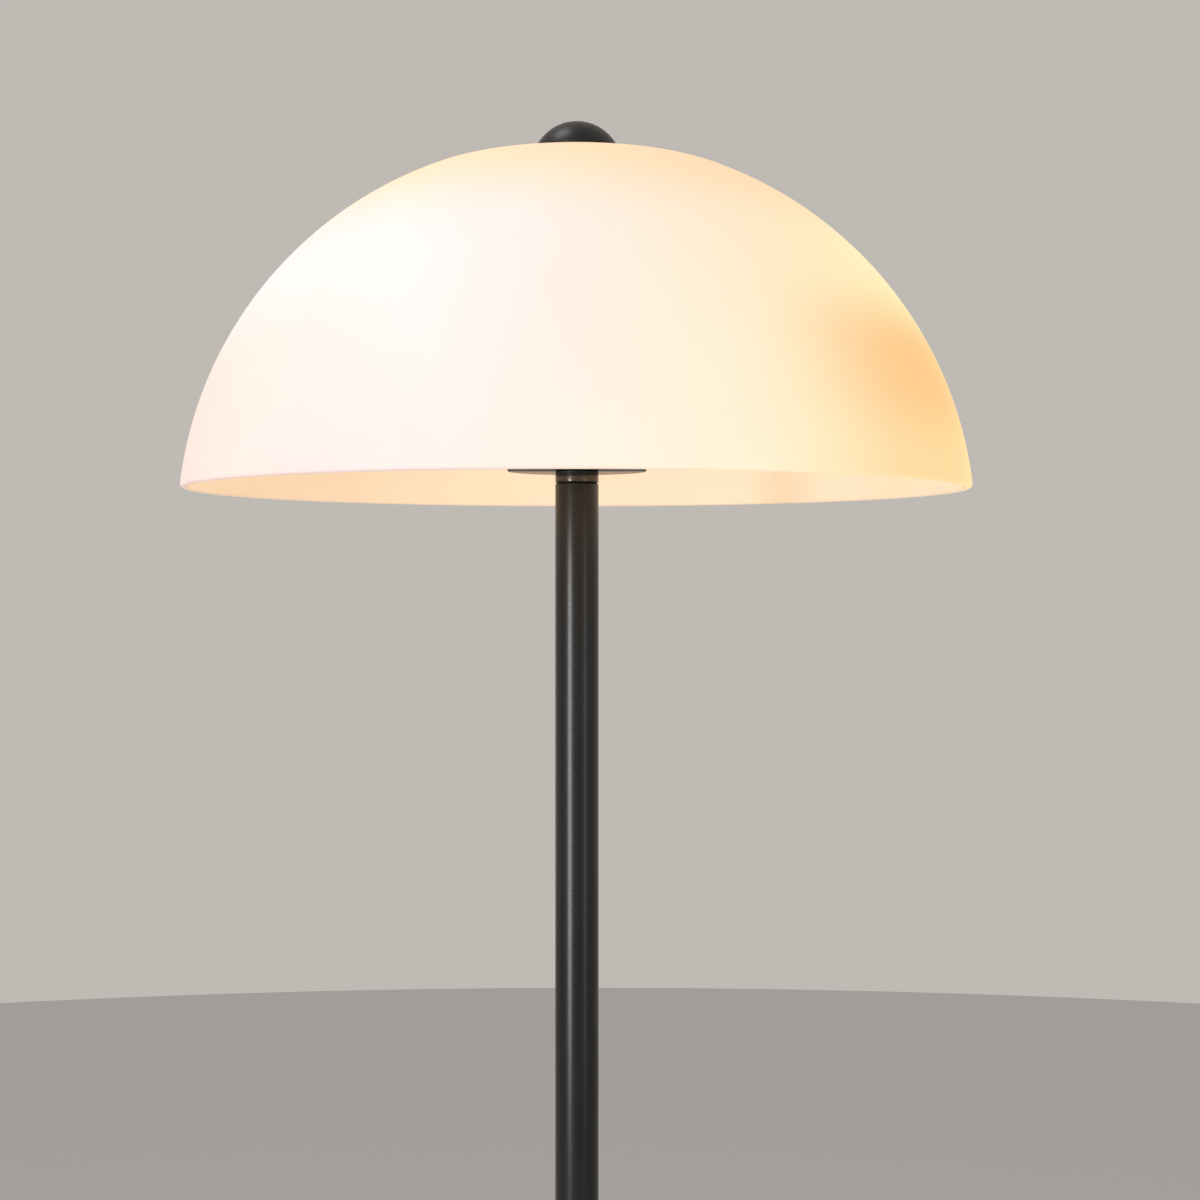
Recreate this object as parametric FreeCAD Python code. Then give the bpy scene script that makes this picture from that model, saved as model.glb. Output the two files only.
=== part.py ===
"""Mushroom floor lamp: an opal glass dome on a slim black pole that stands in a round weighted base.

Millimetres. +Z is up and the origin is the middle of the underside, on the floor.
The front of the lamp faces -Y, and the mains inlet is at the back of the base, at +Y.
"""
import FreeCAD
import Part
import math
import os

# ---------------------------------------------------------------- fits and hardware used all over
held_fit = 0.03            # radial gap between pieces that are pressed or screwed together for good
turning_fit = 0.05         # radial gap between threads that are undone in use
loose_fit = 0.30           # gap between pieces that only slide or lift past each other
thread_radius = 5.0        # M10 x 1 lamp thread, used through the whole lamp
thread_pitch = 1.0
thread_bore = 4.0          # bore of every hollow threaded piece
nut_across_flats = 17.0
nut_height = 4.0
nut_chamfer_deg = 30.0
edge_round = 0.6           # broken edge on turned pieces

# ---------------------------------------------------------------- base
cover_radius = 145.0
cover_wall = 1.5
cover_corner_radius = 6.0
felt_inset = 5.0           # from the outside of the cover to the edge of the felt
felt_thickness = 2.0
bottom_plate_gap = 0.5     # from the inside of the cover to the bottom plate
bottom_plate_thickness = 1.5
weight_gap = 15.5          # from the inside of the cover to the weight
weight_thickness = 21.0
weight_edge_round = 4.0
pocket_radius = 50.0       # hollow under the weight for the nut and the terminals
pocket_depth = 16.0
channel_width = 14.0       # way for the mains cord from the inlet to the pocket
channel_height = 13.0
clamp_washer_radius = 18.0
clamp_washer_thickness = 2.0
stud_below_nut = 0.5       # thread that shows under the clamp nut
insert_length = 18.0       # threaded plug in each end of each tube
joiner_reach = 15.0        # how far a stud or joiner screws into an insert

# screws that hold the bottom plate to the weight
plate_screw_count = 3
plate_screw_inset = 28.0   # from the edge of the weight to the screws
plate_screw_first_deg = 30.0
plate_screw_radius = 1.5
plate_screw_head_radius = 2.9
plate_screw_length = 12.0
plate_screw_slot = 0.9
plate_screw_slot_depth = 0.6

# inlet for the mains cord
inlet_height = 11.0
inlet_bore_radius = 3.5
inlet_neck_radius = 4.8
inlet_flange_radius = 7.0
inlet_outer_flange = 2.5
inlet_inner_flange = 2.0

# terminal block in the pocket
terminal_poles = 3
terminal_pitch = 9.0
terminal_depth = 18.0
terminal_height = 12.0
terminal_end_wall = 3.0
terminal_gap = 2.0         # from the clamp washer to the block
terminal_entry_radius = 2.6
terminal_screw_radius = 1.6
terminal_screw_length = 4.0
terminal_screw_inset = 4.5
terminal_fixing_radius = 1.5
terminal_fixing_head_radius = 2.6
terminal_fixing_head = 1.6

# ---------------------------------------------------------------- pole
pole_radius = 12.5
pole_wall = 1.5
tube_length = 422.0
tube_count = 3

# ---------------------------------------------------------------- neck and disc
groove_height = 0.85
groove_depth = 0.9
collar_height = 4.8
spacer_height = 1.5
spacer_inset = 0.1
disc_radius = 40.0
disc_thickness = 1.2

# ---------------------------------------------------------------- lampholders and bulbs
holder_count = 3
holder_circle = 25.0       # from the lamp's axis to each bulb's axis
nipple_height = 20.0
holder_clear_height = 12.0 # from the disc to the bottom of each holder
cup_foot_radius = 9.0
holder_radius = 14.0
holder_wall = 1.5
cup_height = 14.0
cup_foot_height = 4.0
skirt_height = 34.0
skirt_mouth_radius = 11.2
skirt_lip = 1.2
core_floor = 5.0
core_sleeve_height = 19.0
core_sleeve_wall = 1.6
shell_radius = 7.25        # inside of the screw shell
shell_wall = 0.35
contact_width = 4.0
contact_thickness = 0.4
contact_height = 2.2

cap_crest_radius = 6.9     # small Edison screw
cap_root_radius = 6.3
cap_pitch = 2.82
cap_thread_turns = 5
cap_skirt_radius = 7.9
cap_skirt_height = 3.2
cap_wall = 0.35
tip_radius = 2.4
tip_height = 1.2
insulator_height = 3.0
bulb_neck_radius = 7.6
bulb_radius = 17.5
bulb_shoulder_height = 27.0
bulb_taper_height = 42.0
bulb_taper_radius = 4.5
bulb_wall = 1.0
bulb_unscrew_turns = 4

# ---------------------------------------------------------------- internal leads
main_lead_radius = 2.4
main_lead_bend = 5.5
holder_lead_radius = 1.1
holder_lead_bend = 3.0
holder_lead_spread = 1.5   # from the lamp's axis to each lead inside the rod
holder_lead_rise = 7.3     # from the disc to the leads' way out of the rod
holder_lead_end = 4.0      # above the top of the nipple
lead_hole_clearance = 0.4
splice_radius = 7.0
splice_length = 36.0
splice_below_pole_top = 75.0

# ---------------------------------------------------------------- shade and finial
rim_radius = 225.6
rim_lean_deg = 6.22        # lean of the glass at the rim, from the vertical
side_arc_radius = 221.8
side_end_slope_deg = 22.6  # slope of the glass where the side arc ends
shoulder_arc_radius = 121.8
crown_slope_deg = 11.0     # slope of the glass where the crown starts
glass_wall = 5.3
rim_outer_round = 2.4
rim_inner_round = 1.0
glass_hole_radius = 6.5
seat_rise = 174.1          # from the disc to the top of the support plate
support_radius = 30.0
support_thickness = 1.5
support_lip_height = 3.0
lower_washer_radius = 24.0
upper_washer_radius = 21.0
washer_thickness = 1.5
bush_wall = 0.9
finial_sphere_radius = 26.3
finial_height = 15.9
finial_washer_radius = 22.0
finial_washer_thickness = 1.0
finial_insert_radius = 8.0
finial_insert_length = 10.0
rod_in_finial = 9.0        # thread engaged by the finial
finial_bore_spare = 1.5    # room above the rod inside the finial

# ---------------------------------------------------------------- sizes that follow from the ones above
cover_inner_radius = cover_radius - cover_wall
felt_radius = cover_radius - felt_inset
bottom_plate_radius = cover_inner_radius - bottom_plate_gap
weight_radius = cover_inner_radius - weight_gap
plate_screw_circle = weight_radius - plate_screw_inset
tube_inner_radius = pole_radius - pole_wall

# ---------------------------------------------------------------- levels, from the floor upwards
bottom_plate_z = felt_thickness
weight_z = bottom_plate_z + bottom_plate_thickness
weight_top_z = weight_z + weight_thickness
base_top_z = weight_top_z + cover_wall
pocket_ceiling_z = weight_z + pocket_depth
clamp_washer_z = pocket_ceiling_z - clamp_washer_thickness
clamp_nut_z = clamp_washer_z - nut_height
stud_end_z = clamp_nut_z - stud_below_nut
pole_top_z = base_top_z + tube_count * tube_length
collar_z = pole_top_z
spacer_z = collar_z + groove_height + collar_height
disc_z = spacer_z + spacer_height
disc_top_z = disc_z + disc_thickness
holder_z = disc_top_z + holder_clear_height
skirt_z = holder_z + cup_height
skirt_top_z = skirt_z + skirt_height
core_floor_z = skirt_z
bulb_tip_z = core_floor_z + core_floor + contact_height + contact_thickness
cap_z = bulb_tip_z + tip_height + insulator_height
cap_top_z = cap_z + cap_thread_turns * cap_pitch + cap_skirt_height
support_z = disc_top_z + seat_rise - support_thickness
lower_washer_z = support_z + support_thickness
lower_washer_top_z = lower_washer_z + washer_thickness
holder_angles = [-90.0 + i * 360.0 / holder_count for i in range(holder_count)]
holder_names = ["front", "right", "left"]


# ---------------------------------------------------------------- drawing helpers
def point(radius, height):
    """A point of a profile in the plane of the axis: distance from the axis, height."""
    return FreeCAD.Vector(radius, 0, height)


def line(start, end):
    return Part.makeLine(start, end)


def arc(center, radius, start_deg, end_deg):
    """An arc of a profile; angles are measured from level, outwards."""
    middle_deg = (start_deg + end_deg) / 2
    points = []
    for degrees in (start_deg, middle_deg, end_deg):
        turn = math.radians(degrees)
        points.append(center + FreeCAD.Vector(radius * math.cos(turn), 0, radius * math.sin(turn)))
    return Part.Arc(*points).toShape()


def spun(edges):
    """The solid that a closed profile makes when it is spun about the axis."""
    wire = Part.Wire(Part.__sortEdges__(edges))
    solid = Part.Face(wire).revolve(FreeCAD.Vector(0, 0, 0), FreeCAD.Vector(0, 0, 1), 360)
    return Part.Solid(solid.Shells[0]) if solid.ShapeType != "Solid" else solid


def spun_outline(corners):
    """The spun solid of a profile with straight sides, given as (radius, height) corners."""
    points = [point(radius, height) for radius, height in corners]
    return spun([line(points[i - 1], points[i]) for i in range(len(points))])


def rod(radius, bottom, top, x=0.0, y=0.0):
    return Part.makeCylinder(radius, top - bottom, FreeCAD.Vector(x, y, bottom))


def ring(outer_radius, inner_radius, bottom, top, x=0.0, y=0.0):
    return rod(outer_radius, bottom, top, x, y).cut(rod(inner_radius, bottom, top, x, y))


def hex_nut(bottom, height, bore_radius):
    """A hexagon nut with both faces chamfered, drilled for its thread."""
    corner_radius = nut_across_flats / math.sqrt(3)
    corners = []
    for i in range(7):
        turn = math.radians(60 * i)
        corners.append(FreeCAD.Vector(corner_radius * math.cos(turn), corner_radius * math.sin(turn), bottom))
    hexagon = Part.Face(Part.makePolygon(corners)).extrude(FreeCAD.Vector(0, 0, height))
    flat_radius = nut_across_flats / 2
    drop = (corner_radius - flat_radius) * math.tan(math.radians(nut_chamfer_deg))
    turned = spun_outline([
        (bore_radius, bottom),
        (flat_radius, bottom),
        (corner_radius, bottom + drop),
        (corner_radius, bottom + height - drop),
        (flat_radius, bottom + height),
        (bore_radius, bottom + height),
    ])
    return hexagon.common(turned)


def placed(shape, angle_deg, distance=0.0):
    """A copy moved out from the axis by a distance along X, then turned about the axis."""
    copy = shape.copy()
    copy.translate(FreeCAD.Vector(distance, 0, 0))
    copy.rotate(FreeCAD.Vector(0, 0, 0), FreeCAD.Vector(0, 0, 1), angle_deg)
    return copy


def bent_wire(corners, bend_radius, wire_radius):
    """A round wire along straight runs, with an arc of one radius at each corner."""
    edges = []
    start = corners[0]
    for before, corner, after in zip(corners, corners[1:], corners[2:]):
        into = (corner - before).normalize()
        out = (after - corner).normalize()
        turn = into.getAngle(out)
        cut_back = bend_radius * math.tan(turn / 2)
        arc_start = corner - into * cut_back
        arc_end = corner + out * cut_back
        inward = (out - into).normalize()
        arc_middle = corner + inward * (bend_radius / math.cos(turn / 2) - bend_radius)
        edges.append(line(start, arc_start))
        edges.append(Part.Arc(arc_start, arc_middle, arc_end).toShape())
        start = arc_end
    edges.append(line(start, corners[-1]))
    circle = Part.makeCircle(wire_radius, corners[0], corners[1] - corners[0])
    return Part.Wire(edges).makePipeShell([Part.Wire(circle)], True, False)


def arc_radius_to_upright(run, rise):
    """Radius of the arc that ends upright after going out by a run over a rise."""
    return (run * run + rise * rise) / (2 * run)


# ---------------------------------------------------------------- base
def make_base_felt():
    return rod(felt_radius, 0, felt_thickness)


def plate_screw_places():
    return [plate_screw_first_deg + i * 360.0 / plate_screw_count for i in range(plate_screw_count)]


def plate_screw_shape(gap):
    """A countersunk screw seen from below, or its hole when a gap is given."""
    head_height = plate_screw_head_radius - plate_screw_radius
    return spun_outline([
        (0, bottom_plate_z),
        (plate_screw_head_radius + gap, bottom_plate_z),
        (plate_screw_radius + gap, bottom_plate_z + head_height),
        (plate_screw_radius + gap, bottom_plate_z + plate_screw_length + gap),
        (0, bottom_plate_z + plate_screw_length + gap),
    ])


def drill_for_plate_screws(shape):
    hole = plate_screw_shape(held_fit)
    for angle in plate_screw_places():
        shape = shape.cut(placed(hole, angle, plate_screw_circle))
    return shape


def make_bottom_plate():
    return drill_for_plate_screws(rod(bottom_plate_radius, bottom_plate_z, weight_z))


def make_bottom_plate_screws():
    slot = Part.makeBox(2 * plate_screw_head_radius, plate_screw_slot, plate_screw_slot_depth)
    slot.translate(FreeCAD.Vector(-plate_screw_head_radius, -plate_screw_slot / 2, bottom_plate_z))
    screw = plate_screw_shape(0).cut(slot)
    return [placed(screw, angle, plate_screw_circle) for angle in plate_screw_places()]


def make_base_weight():
    """Cast ballast with a hollow underneath, a channel to the inlet and a boss for the terminals."""
    disc = rod(weight_radius, weight_z, weight_top_z)
    top_edges = [edge for edge in disc.Edges if abs(edge.BoundBox.ZMin - weight_top_z) < held_fit]
    round_edges = [edge for edge in top_edges if edge.Closed]
    disc = disc.makeFillet(weight_edge_round, round_edges)
    disc = disc.cut(rod(pocket_radius, weight_z, pocket_ceiling_z))
    channel = Part.makeBox(channel_width, weight_radius, channel_height)
    channel.translate(FreeCAD.Vector(-channel_width / 2, 0, weight_z))
    disc = disc.cut(channel)
    boss = Part.makeBox(terminal_length(), terminal_depth, pocket_ceiling_z - terminal_top_z())
    boss.translate(FreeCAD.Vector(-terminal_length() / 2, terminal_front_y(), terminal_top_z()))
    disc = disc.fuse(boss).removeSplitter()
    disc = disc.cut(rod(thread_radius + loose_fit, weight_z, weight_top_z))
    disc = disc.cut(terminal_fixing_shape(held_fit))
    return drill_for_plate_screws(disc)


def make_base_cover():
    """Spun steel cover: a flat top, a rounded shoulder and an upright side, all of one thickness."""
    outer_corner = point(cover_radius - cover_corner_radius, base_top_z - cover_corner_radius)
    inner_top_z = base_top_z - cover_wall
    hole_radius = thread_radius + loose_fit
    shell = spun([
        line(point(hole_radius, base_top_z), point(outer_corner.x, base_top_z)),
        arc(outer_corner, cover_corner_radius, 90, 0),
        line(point(cover_radius, outer_corner.z), point(cover_radius, bottom_plate_z)),
        line(point(cover_radius, bottom_plate_z), point(cover_inner_radius, bottom_plate_z)),
        line(point(cover_inner_radius, bottom_plate_z), point(cover_inner_radius, outer_corner.z)),
        arc(outer_corner, cover_corner_radius - cover_wall, 0, 90),
        line(point(outer_corner.x, inner_top_z), point(hole_radius, inner_top_z)),
        line(point(hole_radius, inner_top_z), point(hole_radius, base_top_z)),
    ])
    return shell.cut(inlet_cylinder(inlet_neck_radius + held_fit, weight_radius, cover_radius + cover_wall))


def inlet_cylinder(radius, start_y, end_y):
    start = FreeCAD.Vector(0, start_y, inlet_height)
    return Part.makeCylinder(radius, end_y - start_y, start, FreeCAD.Vector(0, 1, 0))


def inlet_inner_y():
    """Inside of the cover at the edge of the inlet's flange, where the round wall is nearest."""
    return math.sqrt(cover_inner_radius ** 2 - inlet_flange_radius ** 2) - held_fit


def make_cord_bush():
    """Moulded bush that snaps into the back of the cover and lines the way for the mains cord."""
    back_y = cover_radius + inlet_outer_flange
    front_y = inlet_inner_y() - inlet_inner_flange
    outer_flange = inlet_cylinder(inlet_flange_radius, cover_radius, back_y)
    round_edges = [edge for edge in outer_flange.Edges if edge.Closed]
    back_edges = [edge for edge in round_edges if edge.CenterOfMass.y > back_y - held_fit]
    outer_flange = outer_flange.makeFillet(edge_round, back_edges)
    body = outer_flange.fuse([
        inlet_cylinder(inlet_neck_radius, front_y, back_y - edge_round),
        inlet_cylinder(inlet_flange_radius, front_y, inlet_inner_y()),
    ])
    return body.removeSplitter().cut(inlet_cylinder(inlet_bore_radius, front_y, back_y))


def make_clamp_washer():
    return ring(clamp_washer_radius, thread_radius + loose_fit, clamp_washer_z, pocket_ceiling_z)


def make_clamp_nut():
    return hex_nut(clamp_nut_z, nut_height, thread_radius + held_fit)


def make_base_stud():
    return ring(thread_radius, thread_bore, stud_end_z, base_top_z + joiner_reach)


# ---------------------------------------------------------------- terminals
def terminal_length():
    return terminal_poles * terminal_pitch + 2 * terminal_end_wall


def terminal_front_y():
    return clamp_washer_radius + terminal_gap


def terminal_z():
    """Underside of the block, placed so that its lowest entry faces the main lead."""
    return main_lead_level_z() - terminal_entry_radius - terminal_wall()


def terminal_wall():
    return (terminal_pitch - 2 * terminal_entry_radius) / 4


def terminal_top_z():
    return terminal_z() + terminal_height


def main_lead_level_z():
    return stud_end_z - main_lead_bend


def terminal_pole_places():
    middle = (terminal_poles - 1) / 2
    return [(i - middle) * terminal_pitch for i in range(terminal_poles)]


def terminal_screw_shape(x, y, gap):
    bottom = terminal_z() - gap
    return rod(terminal_screw_radius + gap, bottom, terminal_z() + terminal_screw_length, x, y)


def terminal_screw_places():
    front_row = terminal_front_y() + terminal_screw_inset
    back_row = terminal_front_y() + terminal_depth - terminal_screw_inset
    return [(x, y) for x in terminal_pole_places() for y in (front_row, back_row)]


def terminal_fixing_shape(gap):
    """The screw that holds the block up against its boss, with its head sunk in the block."""
    x = terminal_pitch / 2
    y = terminal_front_y() + terminal_depth / 2
    head_z = terminal_z() + terminal_wall()
    head_top_z = head_z + terminal_fixing_head
    head = rod(terminal_fixing_head_radius + gap, head_z, head_top_z + gap, x, y)
    return head.fuse(rod(terminal_fixing_radius + gap, head_z, pocket_ceiling_z + gap, x, y))


def make_terminal_block():
    size = (terminal_length(), terminal_depth, terminal_height)
    block = Part.makeBox(*size, FreeCAD.Vector(-size[0] / 2, terminal_front_y(), terminal_z()))
    for x in terminal_pole_places():
        start = FreeCAD.Vector(x, terminal_front_y(), main_lead_level_z())
        entry = Part.makeCylinder(terminal_entry_radius, terminal_depth, start, FreeCAD.Vector(0, 1, 0))
        block = block.cut(entry)
    for x, y in terminal_screw_places():
        block = block.cut(terminal_screw_shape(x, y, held_fit))
    access_x = terminal_pitch / 2
    access_y = terminal_front_y() + terminal_depth / 2
    access = rod(terminal_fixing_head_radius + held_fit, terminal_z(), terminal_z() + terminal_height / 2,
                 access_x, access_y)
    return block.cut(access).cut(terminal_fixing_shape(held_fit))


def make_terminal_screws():
    screws = [terminal_screw_shape(x, y, 0) for x, y in terminal_screw_places()]
    return screws + [terminal_fixing_shape(0)]


# ---------------------------------------------------------------- pole
def tube_bottom_z(index):
    return base_top_z + index * tube_length


def make_pole_tube(index):
    bottom = tube_bottom_z(index)
    return ring(pole_radius, tube_inner_radius, bottom, bottom + tube_length)


def make_tube_inserts():
    """Threaded plugs pressed into both ends of every tube."""
    inserts = []
    outer_radius = tube_inner_radius - held_fit
    for index in range(tube_count):
        bottom = tube_bottom_z(index)
        top = bottom + tube_length
        inserts.append(ring(outer_radius, thread_radius + held_fit, bottom, bottom + insert_length))
        inserts.append(ring(outer_radius, thread_radius + held_fit, top - insert_length, top))
    return inserts


def make_pole_joiner(index):
    """Hollow threaded stud that joins a tube to the one above it."""
    joint_z = tube_bottom_z(index + 1)
    return ring(thread_radius, thread_bore, joint_z - joiner_reach, joint_z + joiner_reach)


# ---------------------------------------------------------------- neck and disc
def make_neck_collar():
    """Turned collar as wide as the pole, standing on a short narrower foot that shows as a groove."""
    bore = thread_radius + held_fit
    foot_radius = pole_radius - groove_depth
    foot_top = collar_z + groove_height
    return spun_outline([
        (bore, collar_z),
        (foot_radius, collar_z),
        (foot_radius, foot_top),
        (pole_radius, foot_top),
        (pole_radius, spacer_z),
        (bore, spacer_z),
    ])


def make_disc_spacer():
    return ring(pole_radius - spacer_inset, thread_radius + held_fit, spacer_z, disc_z)


def make_carrier_disc():
    return ring(disc_radius, thread_radius + held_fit, disc_z, disc_top_z)


def make_disc_nut():
    return hex_nut(disc_top_z, nut_height, thread_radius + held_fit)


def make_central_rod():
    """Hollow threaded rod from the top of the pole to the finial, drilled where the leads come out."""
    body = ring(thread_radius, thread_bore, pole_top_z - joiner_reach, rod_top_z())
    for angle in holder_angles:
        body = body.cut(lead_hole(angle, thread_radius + held_fit))
    return body


def lead_hole(angle, reach):
    start = FreeCAD.Vector(0, 0, disc_top_z + holder_lead_rise)
    radius = holder_lead_radius + lead_hole_clearance
    hole = Part.makeCylinder(radius, reach, start, FreeCAD.Vector(1, 0, 0))
    return placed(hole, angle)


# ---------------------------------------------------------------- lampholders
def make_holder_nipples():
    """Three hollow threaded posts welded to the disc, notched where their leads come in."""
    nipples = []
    for angle in holder_angles:
        nipple = ring(thread_radius, thread_bore, disc_top_z, disc_top_z + nipple_height)
        nipples.append(placed(nipple, angle, holder_circle).cut(lead_hole(angle, holder_circle)))
    return nipples


def make_holder_cup():
    """Lower half of a lampholder: a threaded foot that widens into a round cup."""
    bore = thread_radius + held_fit
    floor_z = holder_z + holder_wall
    foot_top_z = holder_z + cup_foot_height
    inner_foot_radius = cup_foot_radius - holder_wall
    inner_radius = holder_radius - holder_wall
    return spun_outline([
        (bore, holder_z),
        (cup_foot_radius, holder_z),
        (cup_foot_radius, foot_top_z),
        (holder_radius, foot_top_z + (holder_radius - cup_foot_radius)),
        (holder_radius, skirt_z),
        (inner_radius, skirt_z),
        (inner_radius, foot_top_z + (holder_radius - cup_foot_radius) + holder_wall / 2),
        (inner_foot_radius, foot_top_z + holder_wall / 2),
        (inner_foot_radius, floor_z),
        (bore, floor_z),
    ])


def make_holder_skirt():
    """Upper half of a lampholder: a plain sleeve with a lip turned in at its mouth."""
    inner_radius = holder_radius - holder_wall
    return spun_outline([
        (inner_radius, skirt_z),
        (holder_radius, skirt_z),
        (holder_radius, skirt_top_z - edge_round),
        (holder_radius - edge_round, skirt_top_z),
        (skirt_mouth_radius, skirt_top_z),
        (skirt_mouth_radius, skirt_top_z - skirt_lip),
        (inner_radius, skirt_top_z - skirt_lip),
    ])


def core_inner_radius():
    return shell_radius + shell_wall + held_fit


def make_holder_core():
    """Insulating core: a floor across the skirt with a sleeve that holds the screw shell."""
    sleeve_radius = core_inner_radius() + core_sleeve_wall
    floor_radius = holder_radius - holder_wall - held_fit
    floor_top = core_floor_z + core_floor
    return spun_outline([
        (0, core_floor_z),
        (floor_radius, core_floor_z),
        (floor_radius, floor_top),
        (sleeve_radius, floor_top),
        (sleeve_radius, floor_top + core_sleeve_height),
        (core_inner_radius(), floor_top + core_sleeve_height),
        (core_inner_radius(), floor_top),
        (0, floor_top),
    ])


def make_holder_shell():
    bottom = core_floor_z + core_floor
    return ring(shell_radius + shell_wall, shell_radius, bottom, bottom + core_sleeve_height)


def make_holder_contact():
    """Bent strip on the floor of the core that presses up on the bulb's tip."""
    base_z = core_floor_z + core_floor
    reach = shell_radius - loose_fit * 2
    top_z = base_z + contact_height
    flat_half = tip_radius
    side = [
        point(-reach, base_z),
        point(-flat_half, base_z),
        point(-flat_half / 2, top_z - contact_thickness),
        point(flat_half, top_z - contact_thickness),
        point(flat_half, top_z),
        point(-flat_half / 2 - contact_thickness, top_z),
        point(-flat_half - contact_thickness, base_z + contact_thickness),
        point(-reach, base_z + contact_thickness),
    ]
    strip = Part.Face(Part.makePolygon(side + [side[0]])).extrude(FreeCAD.Vector(0, contact_width, 0))
    strip.translate(FreeCAD.Vector(0, -contact_width / 2, 0))
    return strip


# ---------------------------------------------------------------- bulbs
def make_bulb_contact():
    """End of the bulb's cap: the soldered tip under a cone of black glass."""
    tip_top = bulb_tip_z + tip_height
    return spun_outline([
        (0, bulb_tip_z),
        (tip_radius - edge_round, bulb_tip_z),
        (tip_radius, bulb_tip_z + edge_round),
        (tip_radius, tip_top),
        (cap_root_radius, cap_z),
        (0, cap_z),
    ])


def make_bulb_cap():
    """Screw cap: a thin brass shell with rounded thread ridges and a plain skirt above them."""
    outer = []
    corner = point(cap_root_radius, cap_z)
    ridge = cap_crest_radius - cap_root_radius
    for turn in range(cap_thread_turns):
        start_z = cap_z + turn * cap_pitch
        crest = point(cap_root_radius + ridge, start_z + cap_pitch / 2)
        end = point(cap_root_radius, start_z + cap_pitch)
        outer.append(Part.Arc(corner, crest, end).toShape())
        corner = end
    skirt = point(cap_skirt_radius, corner.z + cap_skirt_height / 2)
    rim = point(cap_skirt_radius, cap_top_z)
    inner_radius = cap_root_radius - cap_wall
    inner_rim = point(cap_skirt_radius - cap_wall, cap_top_z)
    inner_skirt = point(cap_skirt_radius - cap_wall, skirt.z)
    inner_neck = point(inner_radius, corner.z)
    floor = point(inner_radius, cap_z)
    return spun(outer + [
        line(corner, skirt),
        line(skirt, rim),
        line(rim, inner_rim),
        line(inner_rim, inner_skirt),
        line(inner_skirt, inner_neck),
        line(inner_neck, floor),
        line(floor, point(cap_root_radius, cap_z)),
    ])


def candle_profile(inset):
    """Half outline of the bulb from its neck to its tip, moved inwards by an inset."""
    lower_radius = arc_radius_to_upright(bulb_radius - bulb_neck_radius, bulb_shoulder_height)
    upper_radius = arc_radius_to_upright(bulb_radius - bulb_taper_radius, bulb_taper_height)
    bulge_z = bulb_neck_z() + bulb_shoulder_height
    lower_center = point(bulb_radius - lower_radius, bulge_z)
    upper_center = point(bulb_radius - upper_radius, bulge_z)
    foot_deg = math.degrees(math.asin(-bulb_shoulder_height / (lower_radius - inset)))
    taper_deg = math.degrees(math.asin(bulb_taper_height / upper_radius))
    tip_arc_radius = bulb_taper_radius / math.cos(math.radians(taper_deg))
    tip_rise = tip_arc_radius * math.sin(math.radians(taper_deg))
    tip_center = point(0, bulge_z + bulb_taper_height - tip_rise)
    return [
        arc(lower_center, lower_radius - inset, foot_deg, 0),
        arc(upper_center, upper_radius - inset, 0, taper_deg),
        arc(tip_center, tip_arc_radius - inset, taper_deg, 90),
    ]


def bulb_neck_z():
    return cap_top_z


def make_bulb_glass():
    """Blown candle envelope of one wall thickness, open at the neck."""
    outer = candle_profile(0)
    inner = candle_profile(bulb_wall)
    foot = line(outer[0].Vertexes[0].Point, inner[0].Vertexes[0].Point)
    top = line(outer[2].Vertexes[-1].Point, inner[2].Vertexes[-1].Point)
    return spun(outer + inner + [foot, top])


# ---------------------------------------------------------------- internal leads
def splice_top_z():
    return pole_top_z - splice_below_pole_top


def make_main_lead():
    """Sheathed lead from the terminals, up the stud and the pole to the splice."""
    level_z = main_lead_level_z()
    return bent_wire([
        FreeCAD.Vector(0, terminal_front_y(), level_z),
        FreeCAD.Vector(0, 0, level_z),
        FreeCAD.Vector(0, 0, splice_top_z() - splice_length),
    ], main_lead_bend, main_lead_radius)


def make_lead_splice():
    return rod(splice_radius, splice_top_z() - splice_length, splice_top_z())


def make_holder_leads():
    """Three leads: up inside the rod, level across to a nipple and up into its holder."""
    level_z = disc_top_z + holder_lead_rise
    lead = bent_wire([
        point(holder_lead_spread, splice_top_z()),
        point(holder_lead_spread, level_z),
        point(holder_circle, level_z),
        point(holder_circle, disc_top_z + nipple_height + holder_lead_end),
    ], holder_lead_bend, holder_lead_radius)
    return [placed(lead, angle) for angle in holder_angles]


# ---------------------------------------------------------------- shade
def dome_arcs():
    """Centre, radius and end angles of the side, shoulder and crown arcs of the outside of the
    glass, with the rim at height 0. Each arc runs on smoothly from the one before, and the crown's
    centre is on the axis."""
    side_end_deg = 90 - side_end_slope_deg
    shoulder_end_deg = 90 - crown_slope_deg
    lean = math.radians(rim_lean_deg)
    side_center = point(rim_radius - side_arc_radius * math.cos(lean), -side_arc_radius * math.sin(lean))
    side_end = math.radians(side_end_deg)
    step = side_arc_radius - shoulder_arc_radius
    shoulder_center = side_center + point(step * math.cos(side_end), step * math.sin(side_end))
    shoulder_end = math.radians(shoulder_end_deg)
    crown_radius = shoulder_arc_radius + shoulder_center.x / math.cos(shoulder_end)
    crown_drop = (crown_radius - shoulder_arc_radius) * math.sin(shoulder_end)
    crown_center = point(0, shoulder_center.z - crown_drop)
    return [
        (side_center, side_arc_radius, rim_lean_deg, side_end_deg),
        (shoulder_center, shoulder_arc_radius, side_end_deg, shoulder_end_deg),
        (crown_center, crown_radius, shoulder_end_deg, 90.0),
    ]


def crown_height(distance, inset):
    """Height of the crown above the rim at a distance from the axis, moved inwards by an inset."""
    center, radius, _, _ = dome_arcs()[2]
    return center.z + math.sqrt((radius - inset) ** 2 - distance ** 2)


def rim_z():
    """Height of the shade's rim: the crown hangs on the lower washer's edge with a small gap."""
    return lower_washer_top_z + loose_fit - crown_height(lower_washer_radius, glass_wall)


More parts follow.
